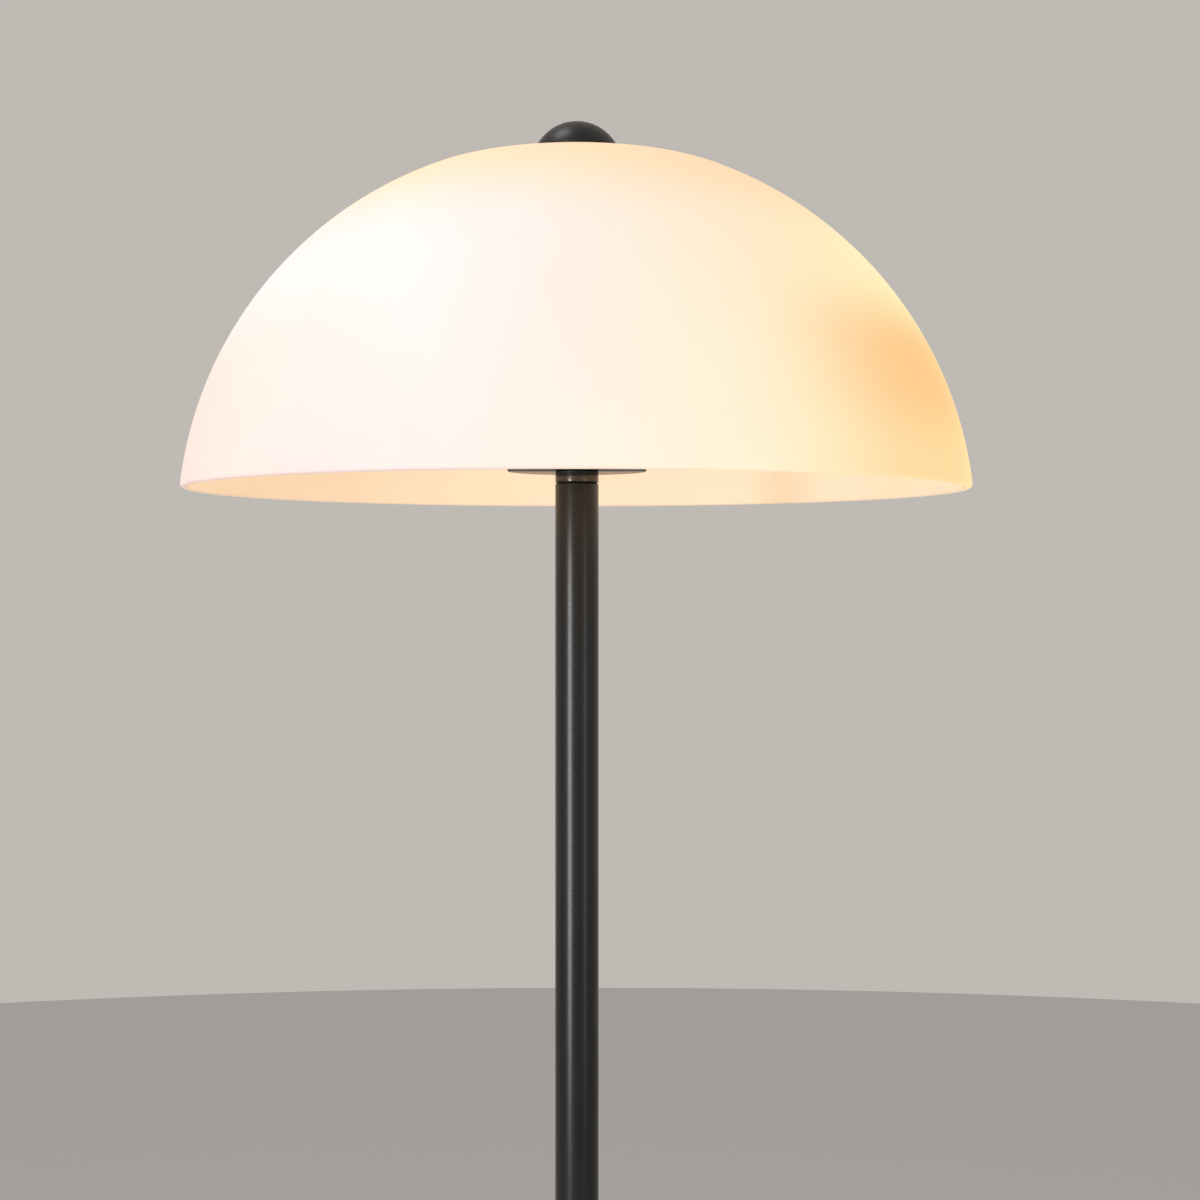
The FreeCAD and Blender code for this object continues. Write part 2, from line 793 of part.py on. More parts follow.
def glass_profile(inset):
    """Three arcs of the glass from the rim to its hole, moved inwards by an inset."""
    side, shoulder, crown = dome_arcs()
    base = point(0, rim_z())
    start_deg = math.degrees(math.asin(-side[0].z / (side[1] - inset)))
    hole_deg = math.degrees(math.acos(glass_hole_radius / (crown[1] - inset)))
    return [
        arc(base + side[0], side[1] - inset, start_deg, side[3]),
        arc(base + shoulder[0], shoulder[1] - inset, shoulder[2], shoulder[3]),
        arc(base + crown[0], crown[1] - inset, crown[2], hole_deg),
    ]


def make_glass_shade():
    """Opal dome of one wall thickness, open below, with a rounded rim and a hole in the crown."""
    outer = glass_profile(0)
    inner = glass_profile(glass_wall)
    rim = line(outer[0].Vertexes[0].Point, inner[0].Vertexes[0].Point)
    hole = line(outer[2].Vertexes[-1].Point, inner[2].Vertexes[-1].Point)
    glass = spun(outer + inner + [rim, hole])
    rim_middle = rim_radius - glass_wall / 2
    rim_edges = [edge for edge in glass.Edges if edge.Closed and edge.BoundBox.ZMax < rim_z() + held_fit]
    outer_edges = [edge for edge in rim_edges if edge.BoundBox.XMax > rim_middle]
    glass = glass.makeFillet(rim_outer_round, outer_edges)
    rim_edges = [edge for edge in glass.Edges if edge.Closed and edge.BoundBox.ZMax < rim_z() + held_fit]
    inner_edges = [edge for edge in rim_edges if edge.BoundBox.XMax < rim_radius - glass_wall + held_fit]
    return glass.makeFillet(rim_inner_round, inner_edges)


def crown_top_z():
    """Highest point of the glass, at the edge of its hole."""
    return rim_z() + crown_height(glass_hole_radius, 0)


def upper_washer_top_z():
    return crown_top_z() + washer_thickness


def finial_z():
    return upper_washer_top_z() + finial_washer_thickness


def rod_top_z():
    return finial_z() + rod_in_finial


def make_support_nut():
    return hex_nut(support_z - nut_height, nut_height, thread_radius + held_fit)


def make_shade_support():
    """Pressed plate under the crown, with its edge turned down to stiffen it."""
    inner_radius = support_radius - support_thickness
    lip_z = support_z - support_lip_height
    return spun_outline([
        (thread_radius + held_fit, support_z),
        (inner_radius, support_z),
        (inner_radius, lip_z),
        (support_radius, lip_z),
        (support_radius, lower_washer_z),
        (thread_radius + held_fit, lower_washer_z),
    ])


def make_lower_washer():
    return ring(lower_washer_radius, thread_radius + held_fit, lower_washer_z, lower_washer_top_z)


def make_shade_bush():
    """Silicone sleeve that keeps the edge of the glass off the rod."""
    bottom = rim_z() + crown_height(glass_hole_radius, glass_wall)
    outer_radius = glass_hole_radius - held_fit
    return ring(outer_radius, outer_radius - bush_wall, bottom, crown_top_z())


def make_upper_washer():
    """Silicone washer on top of the glass, moulded to the curve of the crown."""
    crown_center, crown_radius, _, _ = dome_arcs()[2]
    center = point(0, rim_z()) + crown_center
    inner_radius = thread_radius + loose_fit
    start_deg = math.degrees(math.acos(upper_washer_radius / crown_radius))
    end_deg = math.degrees(math.acos(inner_radius / crown_radius))
    under = arc(center, crown_radius, start_deg, end_deg)
    edge_point = under.Vertexes[0].Point
    bore_point = under.Vertexes[-1].Point
    top_edge = point(upper_washer_radius, upper_washer_top_z())
    top_bore = point(inner_radius, upper_washer_top_z())
    return spun([under, line(bore_point, top_bore), line(top_bore, top_edge), line(top_edge, edge_point)])


def make_finial_washer():
    return ring(finial_washer_radius, thread_radius + loose_fit, upper_washer_top_z(), finial_z())


def finial_bore_top_z():
    return rod_top_z() + finial_bore_spare


def make_finial_insert():
    """Brass thread pressed into the finial."""
    top_z = finial_z() + finial_insert_length
    return ring(finial_insert_radius, thread_radius + turning_fit, finial_z(), top_z)


def make_finial():
    """Half-ball nut: a cap of a sphere with a flat underside and a blind bore."""
    top = finial_z() + finial_height
    center = point(0, top - finial_sphere_radius)
    base_radius = math.sqrt(finial_sphere_radius ** 2 - (finial_z() - center.z) ** 2)
    base_deg = math.degrees(math.acos(base_radius / finial_sphere_radius))
    insert_top = finial_z() + finial_insert_length
    seat_radius = finial_insert_radius + held_fit
    bore_radius = thread_radius + loose_fit
    dome = spun([
        arc(center, finial_sphere_radius, base_deg, 90),
        line(point(0, top), point(0, finial_bore_top_z())),
        line(point(0, finial_bore_top_z()), point(bore_radius, finial_bore_top_z())),
        line(point(bore_radius, finial_bore_top_z()), point(bore_radius, insert_top)),
        line(point(bore_radius, insert_top), point(seat_radius, insert_top)),
        line(point(seat_radius, insert_top), point(seat_radius, finial_z())),
        line(point(seat_radius, finial_z()), point(base_radius, finial_z())),
    ])
    base_edges = []
    for edge in dome.Edges:
        wide = edge.BoundBox.XMax > base_radius - held_fit
        if edge.Closed and wide and edge.BoundBox.ZMax < finial_z() + held_fit:
            base_edges.append(edge)
    return dome.makeFillet(edge_round, base_edges)


# ---------------------------------------------------------------- the whole lamp
def make_lamp():
    pieces = {
        "base_felt": make_base_felt(),
        "bottom_plate": make_bottom_plate(),
        "bottom_plate_screws": make_bottom_plate_screws(),
        "base_weight": make_base_weight(),
        "base_cover": make_base_cover(),
        "cord_bush": make_cord_bush(),
        "clamp_washer": make_clamp_washer(),
        "clamp_nut": make_clamp_nut(),
        "base_stud": make_base_stud(),
        "terminal_block": make_terminal_block(),
        "terminal_screws": make_terminal_screws(),
        "tube_inserts": make_tube_inserts(),
        "neck_collar": make_neck_collar(),
        "disc_spacer": make_disc_spacer(),
        "carrier_disc": make_carrier_disc(),
        "disc_nut": make_disc_nut(),
        "central_rod": make_central_rod(),
        "holder_nipples": make_holder_nipples(),
        "main_lead": make_main_lead(),
        "lead_splice": make_lead_splice(),
        "holder_leads": make_holder_leads(),
        "support_nut": make_support_nut(),
        "shade_support": make_shade_support(),
        "lower_silicone_washer": make_lower_washer(),
        "glass_shade": make_glass_shade(),
        "shade_bush": make_shade_bush(),
        "upper_silicone_washer": make_upper_washer(),
        "finial_washer": make_finial_washer(),
        "finial_insert": make_finial_insert(),
        "finial": make_finial(),
    }
    tube_names = ["lower_pole_tube", "middle_pole_tube", "upper_pole_tube"]
    for index, name in enumerate(tube_names):
        pieces[name] = make_pole_tube(index)
    joiner_names = ["lower_pole_joiner", "upper_pole_joiner"]
    for index, name in enumerate(joiner_names):
        pieces[name] = make_pole_joiner(index)
    holder_pieces = {
        "holder_cup": make_holder_cup(),
        "holder_skirt": make_holder_skirt(),
        "holder_core": make_holder_core(),
        "holder_shell": make_holder_shell(),
        "holder_contact": make_holder_contact(),
        "bulb_contact": make_bulb_contact(),
        "bulb_cap": make_bulb_cap(),
        "bulb_glass": make_bulb_glass(),
    }
    for name, angle in zip(holder_names, holder_angles):
        for piece_name, shape in holder_pieces.items():
            pieces[name + "_" + piece_name] = placed(shape, angle, holder_circle)
    return pieces


def write_pieces(pieces):
    os.makedirs("parts", exist_ok=True)
    for name, shape in pieces.items():
        solids = shape if isinstance(shape, list) else [shape]
        whole = solids[0] if len(solids) == 1 else Part.makeCompound(solids)
        if not whole.isValid():
            raise ValueError(name + " is not a valid solid")
        whole.exportStep("parts/" + name + ".step")


def print_levels():
    """The levels and travels that describe how the lamp stands and comes apart."""
    print("disc underside", round(disc_z, 3))
    print("rim", round(rim_z(), 3))
    print("top of the finial", round(finial_z() + finial_height, 3))
    print("finial travel", rod_in_finial, "in turns", rod_in_finial / thread_pitch)
    print("bulb travel", round(bulb_unscrew_turns * cap_pitch, 3))


write_pieces(make_lamp())
print_levels()
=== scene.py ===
import math
import bmesh
import bpy
from mathutils import Matrix, Vector


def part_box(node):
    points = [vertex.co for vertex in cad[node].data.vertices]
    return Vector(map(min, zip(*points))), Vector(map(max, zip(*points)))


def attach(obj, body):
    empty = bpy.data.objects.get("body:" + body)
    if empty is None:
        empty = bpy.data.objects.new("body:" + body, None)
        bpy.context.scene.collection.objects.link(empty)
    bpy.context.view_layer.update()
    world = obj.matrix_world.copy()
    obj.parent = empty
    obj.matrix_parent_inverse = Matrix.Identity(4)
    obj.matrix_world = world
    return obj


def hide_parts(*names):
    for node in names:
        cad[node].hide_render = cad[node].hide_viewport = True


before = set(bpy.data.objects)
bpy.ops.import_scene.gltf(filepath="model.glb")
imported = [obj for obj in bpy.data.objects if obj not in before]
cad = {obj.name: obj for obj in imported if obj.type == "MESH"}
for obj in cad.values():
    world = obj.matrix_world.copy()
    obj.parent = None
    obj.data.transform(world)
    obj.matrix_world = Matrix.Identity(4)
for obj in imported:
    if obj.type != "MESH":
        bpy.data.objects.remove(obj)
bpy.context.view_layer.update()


# ------------------------------------------------------------------ base felt
# A disc of grey wool felt is glued under the base so that it does not scratch the floor. It is die
# cut, so its edge is square, but the cut fibres soften it.
mm = 0.001
merge_distance = 0.001 * mm
sharp_turn_deg = 35.0
corner_segments = 5
round_steps = 96
noise_low = 0.35  # nearly all of a noise lies between these two values
noise_high = 0.65
felt_edge_round = 0.6 * mm
felt_dark = (0.055, 0.055, 0.058, 1.0)
felt_light = (0.16, 0.16, 0.165, 1.0)
felt_sheen = 0.4


def round_corner(section, vertex, rounding):
    """Rounds one corner of a half section with a short arc."""
    bmesh.ops.bevel(section, geom=[vertex], offset=rounding, offset_type="OFFSET", affect="VERTICES",
                    segments=corner_segments, profile=0.5, material=-1)


def half_section(corners, closed=True):
    """A half section with straight sides; a corner is (radius, height) or (radius, height, rounding)."""
    section = bmesh.new()
    vertices = [section.verts.new((corner[0], 0.0, corner[1])) for corner in corners]
    for start, end in zip(vertices, vertices[1:]):
        section.edges.new((start, end))
    if closed:
        section.edges.new((vertices[-1], vertices[0]))
    for vertex, corner in zip(vertices, corners):
        if len(corner) == 3:
            round_corner(section, vertex, corner[2])
    return section


def as_piece(name, shape, sharp_deg=sharp_turn_deg):
    """Makes the mesh object of a finished bmesh, smooth except where it turns sharply."""
    mesh = bpy.data.meshes.new(name)
    shape.to_mesh(mesh)
    shape.free()
    mesh.shade_smooth()
    mesh.set_sharp_from_angle(angle=math.radians(sharp_deg))
    piece = bpy.data.objects.new(name, mesh)
    bpy.context.collection.objects.link(piece)
    return piece


def close_seams(shape):
    """Merges the vertices that lie on each other, and turns the faces outwards."""
    bmesh.ops.remove_doubles(shape, verts=shape.verts[:], dist=merge_distance)
    bmesh.ops.recalc_face_normals(shape, faces=shape.faces[:])


def spin_section(section, steps):
    """Spins a half section about the lamp's axis and closes it where it meets the axis."""
    bmesh.ops.spin(section, geom=section.verts[:] + section.edges[:], cent=(0, 0, 0), axis=(0, 0, 1),
                   dvec=(0, 0, 0), angle=2 * math.pi, steps=steps, use_merge=True, use_duplicate=False)
    close_seams(section)
    return section


def spun_piece(name, corners, steps=round_steps, closed=True):
    """A round piece from the corners of its half section."""
    return as_piece(name, spin_section(half_section(corners, closed), steps))


def ring_piece(name, node, bore, rounding, steps=round_steps):
    """A disc, ring or tube as large as its CAD node, with rounded outer edges."""
    low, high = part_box(node)
    corners = [
        (bore, low.z),
        (high.x, low.z, rounding),
        (high.x, high.z, rounding),
        (bore, high.z),
    ]
    return spun_piece(name, corners, steps, closed=bore > 0)


def fit_piece(piece, material, body, node):
    """Gives a new piece its finish, and puts it in the place of its CAD node."""
    piece.data.materials.append(material)
    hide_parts(node)
    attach(piece, body)


def new_finish(name):
    """An empty material and its shader, node list and link list."""
    material = bpy.data.materials.new(name)
    material.use_nodes = True
    nodes = material.node_tree.nodes
    return material, nodes["Principled BSDF"], nodes, material.node_tree.links


def set_shader(material, values):
    """Sets values that are the same all over a finish on its own shader."""
    for label, value in values.items():
        material.node_tree.nodes["Principled BSDF"].inputs[label].default_value = value


def effect_group(name, inputs, outputs):
    """A node group that reads values and puts out values; both are given by their names."""
    group = bpy.data.node_groups.new(name, "ShaderNodeTree")
    for label in inputs:
        group.interface.new_socket(label, in_out="INPUT", socket_type="NodeSocketFloat")
    for label in outputs:
        group.interface.new_socket(label, in_out="OUTPUT", socket_type="NodeSocketFloat")
    given = group.nodes.new("NodeGroupInput")
    result = group.nodes.new("NodeGroupOutput")
    return group, given, result


def add_effect(nodes, group, values):
    """Places an effect group in a material with its own values, and gives the group's outputs."""
    effect = nodes.new("ShaderNodeGroup")
    effect.node_tree = group
    for label, value in values.items():
        effect.inputs[label].default_value = value
    return effect.outputs


def make_grain_group():
    """Two sizes of noise in the piece: Fine is the surface's own grain, Broad its slow unevenness."""
    group, given, result = effect_group("surface_grain", ["Fine scale", "Broad scale"], ["Fine", "Broad"])
    place = group.nodes.new("ShaderNodeTexCoord")
    for label, detail in (("Fine", 4.0), ("Broad", 3.0)):
        noise = group.nodes.new("ShaderNodeTexNoise")
        noise.inputs["Detail"].default_value = detail
        group.links.new(place.outputs["Object"], noise.inputs["Vector"])
        group.links.new(given.outputs[label + " scale"], noise.inputs["Scale"])
        group.links.new(noise.outputs["Fac"], result.inputs[label])
    return group


surface_grain = make_grain_group()


def give(links, value, socket):
    """Feeds a socket from another socket, or sets it to a number, a colour or a direction."""
    if isinstance(value, bpy.types.NodeSocket):
        links.new(value, socket)
    else:
        socket.default_value = value


def add_mix(nodes, links, factor, dark, light):
    """A colour between two others by a factor from a socket."""
    mix = nodes.new("ShaderNodeMix")
    mix.data_type = "RGBA"
    give(links, factor, mix.inputs["Factor"])
    give(links, dark, mix.inputs["A"])
    give(links, light, mix.inputs["B"])
    return mix.outputs["Result"]


def add_range(nodes, links, value, low, high, start=noise_low, end=noise_high):
    """A value spread over another range, kept inside it."""
    spread = nodes.new("ShaderNodeMapRange")
    spread.inputs["From Min"].default_value = start
    spread.inputs["From Max"].default_value = end
    spread.inputs["To Min"].default_value = low
    spread.inputs["To Max"].default_value = high
    links.new(value, spread.inputs["Value"])
    return spread.outputs["Result"]


def add_bump(nodes, links, height, depth, shader):
    """Raises the surface by a height between 0 and 1 times a depth in metres."""
    bump = nodes.new("ShaderNodeBump")
    bump.inputs["Distance"].default_value = depth
    bump.inputs["Strength"].default_value = 1.0
    links.new(height, bump.inputs["Height"])
    links.new(bump.outputs["Normal"], shader.inputs["Normal"])


def grained_finish(name, dark, light, roughness, fine_scale, broad_scale, depth, metallic=0.0,
                   relief="Fine"):
    """A finish coloured by the Broad noise, roughened by the Fine one, and raised by either of them."""
    material, shader, nodes, links = new_finish(name)
    grain = add_effect(nodes, surface_grain, {"Fine scale": fine_scale, "Broad scale": broad_scale})
    tone = add_range(nodes, links, grain["Broad"], 0.0, 1.0)
    links.new(add_mix(nodes, links, tone, dark, light), shader.inputs["Base Color"])
    gloss = add_range(nodes, links, grain["Fine"], roughness[0], roughness[1])
    links.new(gloss, shader.inputs["Roughness"])
    add_bump(nodes, links, grain[relief], depth, shader)
    shader.inputs["Metallic"].default_value = metallic
    return material


grey_felt = grained_finish("grey_felt", felt_dark, felt_light, roughness=(0.85, 1.0), fine_scale=2600.0,
                           broad_scale=900.0, depth=0.5 * mm)
set_shader(grey_felt, {"Sheen Weight": felt_sheen})
felt = ring_piece("felt_pad", "base_felt", 0.0, felt_edge_round, steps=160)
fit_piece(felt, grey_felt, "stand", "base_felt")


# ------------------------------------------------------------------ bottom plate and its screws
# A flat zinc-plated steel plate closes the base above the felt. Three countersunk screws hold it up
# to the cast weight. Plating leaves faint cloudy patches.
zinc_dark = (0.42, 0.43, 0.45, 1.0)
zinc_light = (0.62, 0.62, 0.60, 1.0)


def finish_nodes(material, slot_nodes):
    """Gives CAD nodes that stay as they are their finish."""
    for node in slot_nodes:
        for holder in cad[node].material_slots:
            holder.material = material


zinc_plated_steel = grained_finish("zinc_plated_steel", zinc_dark, zinc_light, roughness=(0.28, 0.42),
                                   fine_scale=1800.0, broad_scale=90.0, depth=0.01 * mm, metallic=1.0)
finish_nodes(zinc_plated_steel, ["bottom_plate", "bottom_plate_screws"])


# ------------------------------------------------------------------ base weight
# A thick cast iron disc keeps the lamp upright. It is sand cast, so its skin is coarse and dark, and
# only its holes are drilled.
iron_dark = (0.030, 0.029, 0.028, 1.0)
iron_light = (0.075, 0.070, 0.066, 1.0)
cast_iron = grained_finish("cast_iron", iron_dark, iron_light, roughness=(0.55, 0.8), fine_scale=700.0,
                           broad_scale=60.0, depth=0.35 * mm, metallic=0.6)
finish_nodes(cast_iron, ["base_weight"])


# ------------------------------------------------------------------ base cover
# Spun steel, powder coated satin black: a flat top, a rounded shoulder and an upright side. The pole
# stands on its middle, and its back is pierced for the cord bush.
cover_low, cover_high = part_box("base_cover")
cover_wall = 1.5 * mm
cover_shoulder = 6.0 * mm
cover_edge_round = 0.3 * mm
cover_hole = 5.3 * mm
bush_hole = 4.83 * mm
inlet_height = 11.0 * mm
drill_overrun = 0.1 * cover_high.x
coat_dark = (0.0035, 0.0032, 0.0032, 1.0)
coat_light = (0.0060, 0.0054, 0.0053, 1.0)
coat_cloud_scale = 25.0


def cut_through(piece, cutter):
    """Cuts one mesh with another, and keeps only the result."""
    cut = piece.modifiers.new("cut", "BOOLEAN")
    cut.operation = "DIFFERENCE"
    cut.solver = "EXACT"
    cut.object = cutter
    whole = piece.evaluated_get(bpy.context.evaluated_depsgraph_get())
    mesh = bpy.data.meshes.new_from_object(whole)
    piece.modifiers.clear()
    old_mesh = piece.data
    piece.data = mesh
    bpy.data.meshes.remove(old_mesh)
    bpy.data.objects.remove(cutter)
    piece.data.set_sharp_from_angle(angle=math.radians(sharp_turn_deg))


def turn_to_back(piece, height):
    """Lays a piece that was spun about the axis along +Y, at a height."""
    lay_down = Matrix.Rotation(math.radians(-90.0), 4, "X")
    piece.data.transform(Matrix.Translation((0.0, 0.0, height)) @ lay_down)


def powder_coat(name, fine_scale, depth, roughness):
    """Satin black powder coat, with a faint orange peel."""
    return grained_finish(name, coat_dark, coat_light, roughness, fine_scale, coat_cloud_scale, depth)


black_powder_coat = powder_coat("black_powder_coat", fine_scale=900.0, depth=0.003 * mm,
                                roughness=(0.28, 0.33))
cover = spun_piece("spun_cover", [
    (cover_hole, cover_high.z),
    (cover_high.x, cover_high.z, cover_shoulder),
    (cover_high.x, cover_low.z, cover_edge_round),
    (cover_high.x - cover_wall, cover_low.z, cover_edge_round),
    (cover_high.x - cover_wall, cover_high.z - cover_wall, cover_shoulder - cover_wall),
    (cover_hole, cover_high.z - cover_wall),
], steps=192)
inlet_drill = spun_piece("inlet_drill", [
    (0.0, cover_high.x - drill_overrun),
    (bush_hole, cover_high.x - drill_overrun),
    (bush_hole, cover_high.x + drill_overrun),
    (0.0, cover_high.x + drill_overrun),
], steps=48, closed=False)
turn_to_back(inlet_drill, inlet_height)
cut_through(cover, inlet_drill)
fit_piece(cover, black_powder_coat, "stand", "base_cover")


# ------------------------------------------------------------------ cord bush
# A black nylon bush snaps into the back of the cover and lines the way for the mains cord. It is
# moulded: its outer flange is rounded and its bore is flared.
bush_low, bush_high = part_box("cord_bush")
bush_face = cover_high.x
bush_bore = 3.5 * mm
bush_neck = 4.8 * mm
bush_flange = 7.0 * mm
bush_inner_flange = 2.0 * mm
bush_inner_round = 0.4 * mm
bush_outer_round = 0.8 * mm
bush_mouth_round = 0.7 * mm
nylon_dark = (0.011, 0.011, 0.011, 1.0)
nylon_light = (0.018, 0.018, 0.018, 1.0)

black_nylon = grained_finish("black_nylon", nylon_dark, nylon_light, roughness=(0.42, 0.58),
                             fine_scale=3000.0, broad_scale=120.0, depth=0.02 * mm)
bush = spun_piece("moulded_cord_bush", [
    (bush_bore, bush_low.y),
    (bush_flange, bush_low.y, bush_inner_round),
    (bush_flange, bush_low.y + bush_inner_flange),
    (bush_neck, bush_low.y + bush_inner_flange),
    (bush_neck, bush_face),
    (bush_flange, bush_face),
    (bush_flange, bush_high.y, bush_outer_round),
    (bush_bore, bush_high.y, bush_mouth_round),
], steps=64)
turn_to_back(bush, inlet_height)
fit_piece(bush, black_nylon, "stand", "cord_bush")


# ------------------------------------------------------------------ clamp washer, nut and stud
# A hollow steel stud comes down out of the pole through the cover and the weight. A washer and a
# hexagon nut in the hollow under the weight pull the pole tight onto the base.
finish_nodes(zinc_plated_steel, ["clamp_washer", "clamp_nut", "base_stud"])


# ------------------------------------------------------------------ terminal block
# White moulded block, screwed up into the hollow of the weight. The mains cord and the main lead
# meet in it, under small brass screws.
plastic_dark = (0.76, 0.75, 0.72, 1.0)
plastic_light = (0.84, 0.83, 0.80, 1.0)
brass_dark = (0.50, 0.34, 0.12, 1.0)
brass_light = (0.68, 0.48, 0.20, 1.0)

white_plastic = grained_finish("white_plastic", plastic_dark, plastic_light, roughness=(0.38, 0.5),
                               fine_scale=2500.0, broad_scale=60.0, depth=0.01 * mm)
brass = grained_finish("brass", brass_dark, brass_light, roughness=(0.2, 0.34), fine_scale=2200.0,
                       broad_scale=150.0, depth=0.006 * mm, metallic=1.0)
finish_nodes(white_plastic, ["terminal_block"])
finish_nodes(brass, ["terminal_screws"])


# ------------------------------------------------------------------ pole tubes, inserts and joiners
# Three lengths of 25 mm steel tube, powder coated satin black. A threaded plug is pressed into each
# end, and hollow threaded joiners pull the tubes end to end, so that only a hairline shows.
tube_bore = 11.0 * mm
tube_end_chamfer = 0.25 * mm

for node in ("lower_pole_tube", "middle_pole_tube", "upper_pole_tube"):
    tube = ring_piece("painted_" + node, node, tube_bore, tube_end_chamfer)
    fit_piece(tube, black_powder_coat, "stand", node)
finish_nodes(zinc_plated_steel, ["tube_inserts", "lower_pole_joiner", "upper_pole_joiner"])


# ------------------------------------------------------------------ neck collar
# Blackened metal ring as wide as the pole, turned on a lathe: fine rings run round it. Its narrower
# foot stands on the pole as a groove, coloured matt black as painted shade.
collar_low, collar_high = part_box("neck_collar")
groove_height = 0.85 * mm
groove_depth = 0.9 * mm
groove_margin = 0.05 * mm
collar_foot_top = collar_low.z + groove_height
collar_bore = 5.03 * mm
collar_edge_round = 0.18 * mm
turned_dark = (0.040, 0.034, 0.030, 1.0)
turned_light = (0.17, 0.142, 0.124, 1.0)
turned_roughness = (0.18, 0.30)
turned_metallic = 0.85
turned_line_scale = (12.0, 12.0, 5200.0)
turned_line_detail = 2.0
turned_line_depth = 0.008 * mm
# painted shade: the colour of the collar's groove, where its shade falls
groove_painted_shade = (0.004, 0.0035, 0.0035, 1.0)


def add_math(nodes, links, operation, first, second):
    """One sum on two values, each a socket or a number."""
    sum_node = nodes.new("ShaderNodeMath")
    sum_node.operation = operation
    give(links, first, sum_node.inputs[0])
    give(links, second, sum_node.inputs[1])
    return sum_node.outputs["Value"]


def add_split(nodes, links, place):
    """The X, Y and Z of a place."""
    split = nodes.new("ShaderNodeSeparateXYZ")
    links.new(place, split.inputs["Vector"])
    return split.outputs["X"], split.outputs["Y"], split.outputs["Z"]


def add_turned_lines(nodes, links, place):
    """Fine lines that run round the axis, as a lathe tool leaves them."""
    stretch = nodes.new("ShaderNodeMapping")
    stretch.inputs["Scale"].default_value = turned_line_scale
    links.new(place, stretch.inputs["Vector"])
    noise = nodes.new("ShaderNodeTexNoise")
    noise.inputs["Scale"].default_value = 1.0
    noise.inputs["Detail"].default_value = turned_line_detail
    links.new(stretch.outputs["Vector"], noise.inputs["Vector"])
    return noise.outputs["Fac"]


def make_black_turned_metal():
    """Turned rings on the collar, and painted shade, matt black, down in its groove."""
    material, shader, nodes, links = new_finish("black_turned_metal")
    place = nodes.new("ShaderNodeTexCoord").outputs["Object"]
    lines = add_turned_lines(nodes, links, place)
    tone = add_range(nodes, links, lines, 0.0, 1.0)
    ring_colour = add_mix(nodes, links, tone, turned_dark, turned_light)
    ring_gloss = add_range(nodes, links, lines, turned_roughness[0], turned_roughness[1])
    add_bump(nodes, links, lines, turned_line_depth, shader)
    height = add_split(nodes, links, place)[2]
    # painted shade: below the foot's top, the groove is coloured matt black
    in_groove = add_math(nodes, links, "LESS_THAN", height, collar_foot_top + groove_margin)
    on_rings = add_math(nodes, links, "SUBTRACT", 1.0, in_groove)
    links.new(add_mix(nodes, links, in_groove, ring_colour, groove_painted_shade), shader.inputs["Base Color"])
    links.new(add_math(nodes, links, "MAXIMUM", ring_gloss, in_groove), shader.inputs["Roughness"])
    links.new(add_math(nodes, links, "MULTIPLY", on_rings, turned_metallic), shader.inputs["Metallic"])
    return material


black_turned_metal = make_black_turned_metal()
collar = spun_piece("turned_neck_collar", [
    (collar_bore, collar_low.z),
    (collar_high.x - groove_depth, collar_low.z),
    (collar_high.x - groove_depth, collar_foot_top),
    (collar_high.x, collar_foot_top, collar_edge_round),
    (collar_high.x, collar_high.z, collar_edge_round),
    (collar_bore, collar_high.z),
])
fit_piece(collar, black_turned_metal, "stand", "neck_collar")


# ------------------------------------------------------------------ disc spacer
# A thin black nylon ring between the collar and the disc, so that the painted disc does not scratch.
# It is turned from bar, and its outer edges are eased.
spacer_edge_round = 0.25 * mm

spacer = ring_piece("nylon_disc_spacer", "disc_spacer", collar_bore, spacer_edge_round)
fit_piece(spacer, black_nylon, "stand", "disc_spacer")


# ------------------------------------------------------------------ carrier disc
# A thin steel plate that carries the three lampholders. It is laser cut, and its black coat is smooth
# but hardly shines, so that its edge shows as a dark line.
disc_edge_round = 0.12 * mm
disc_shine = 0.001

disc_black = powder_coat("carrier_disc_coat", fine_scale=1400.0, depth=0.001 * mm, roughness=(0.07, 0.11))
set_shader(disc_black, {"Specular IOR Level": disc_shine})
disc = ring_piece("painted_carrier_disc", "carrier_disc", collar_bore, disc_edge_round, steps=128)
fit_piece(disc, disc_black, "stand", "carrier_disc")
finish_nodes(zinc_plated_steel, ["disc_nut", "holder_nipples"])


# ------------------------------------------------------------------ central rod
# Hollow M10 steel rod with its thread rolled along its whole length. It screws into the top of the
# pole, and everything above the pole is threaded on it.
rod_low, rod_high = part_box("central_rod")
rod_pitch = 1.0 * mm
rod_thread_depth = 0.45 * mm
rod_crest_start = 0.4 * rod_pitch
rod_crest_end = 0.6 * rod_pitch
rod_bore = 4.0 * mm
rod_bore_shown = 10 * rod_pitch
rod_steps_a_turn = 20
thread_merge_distance = 0.005 * mm
cut_distance = 0.0001 * mm
edge_reach = 0.01 * mm


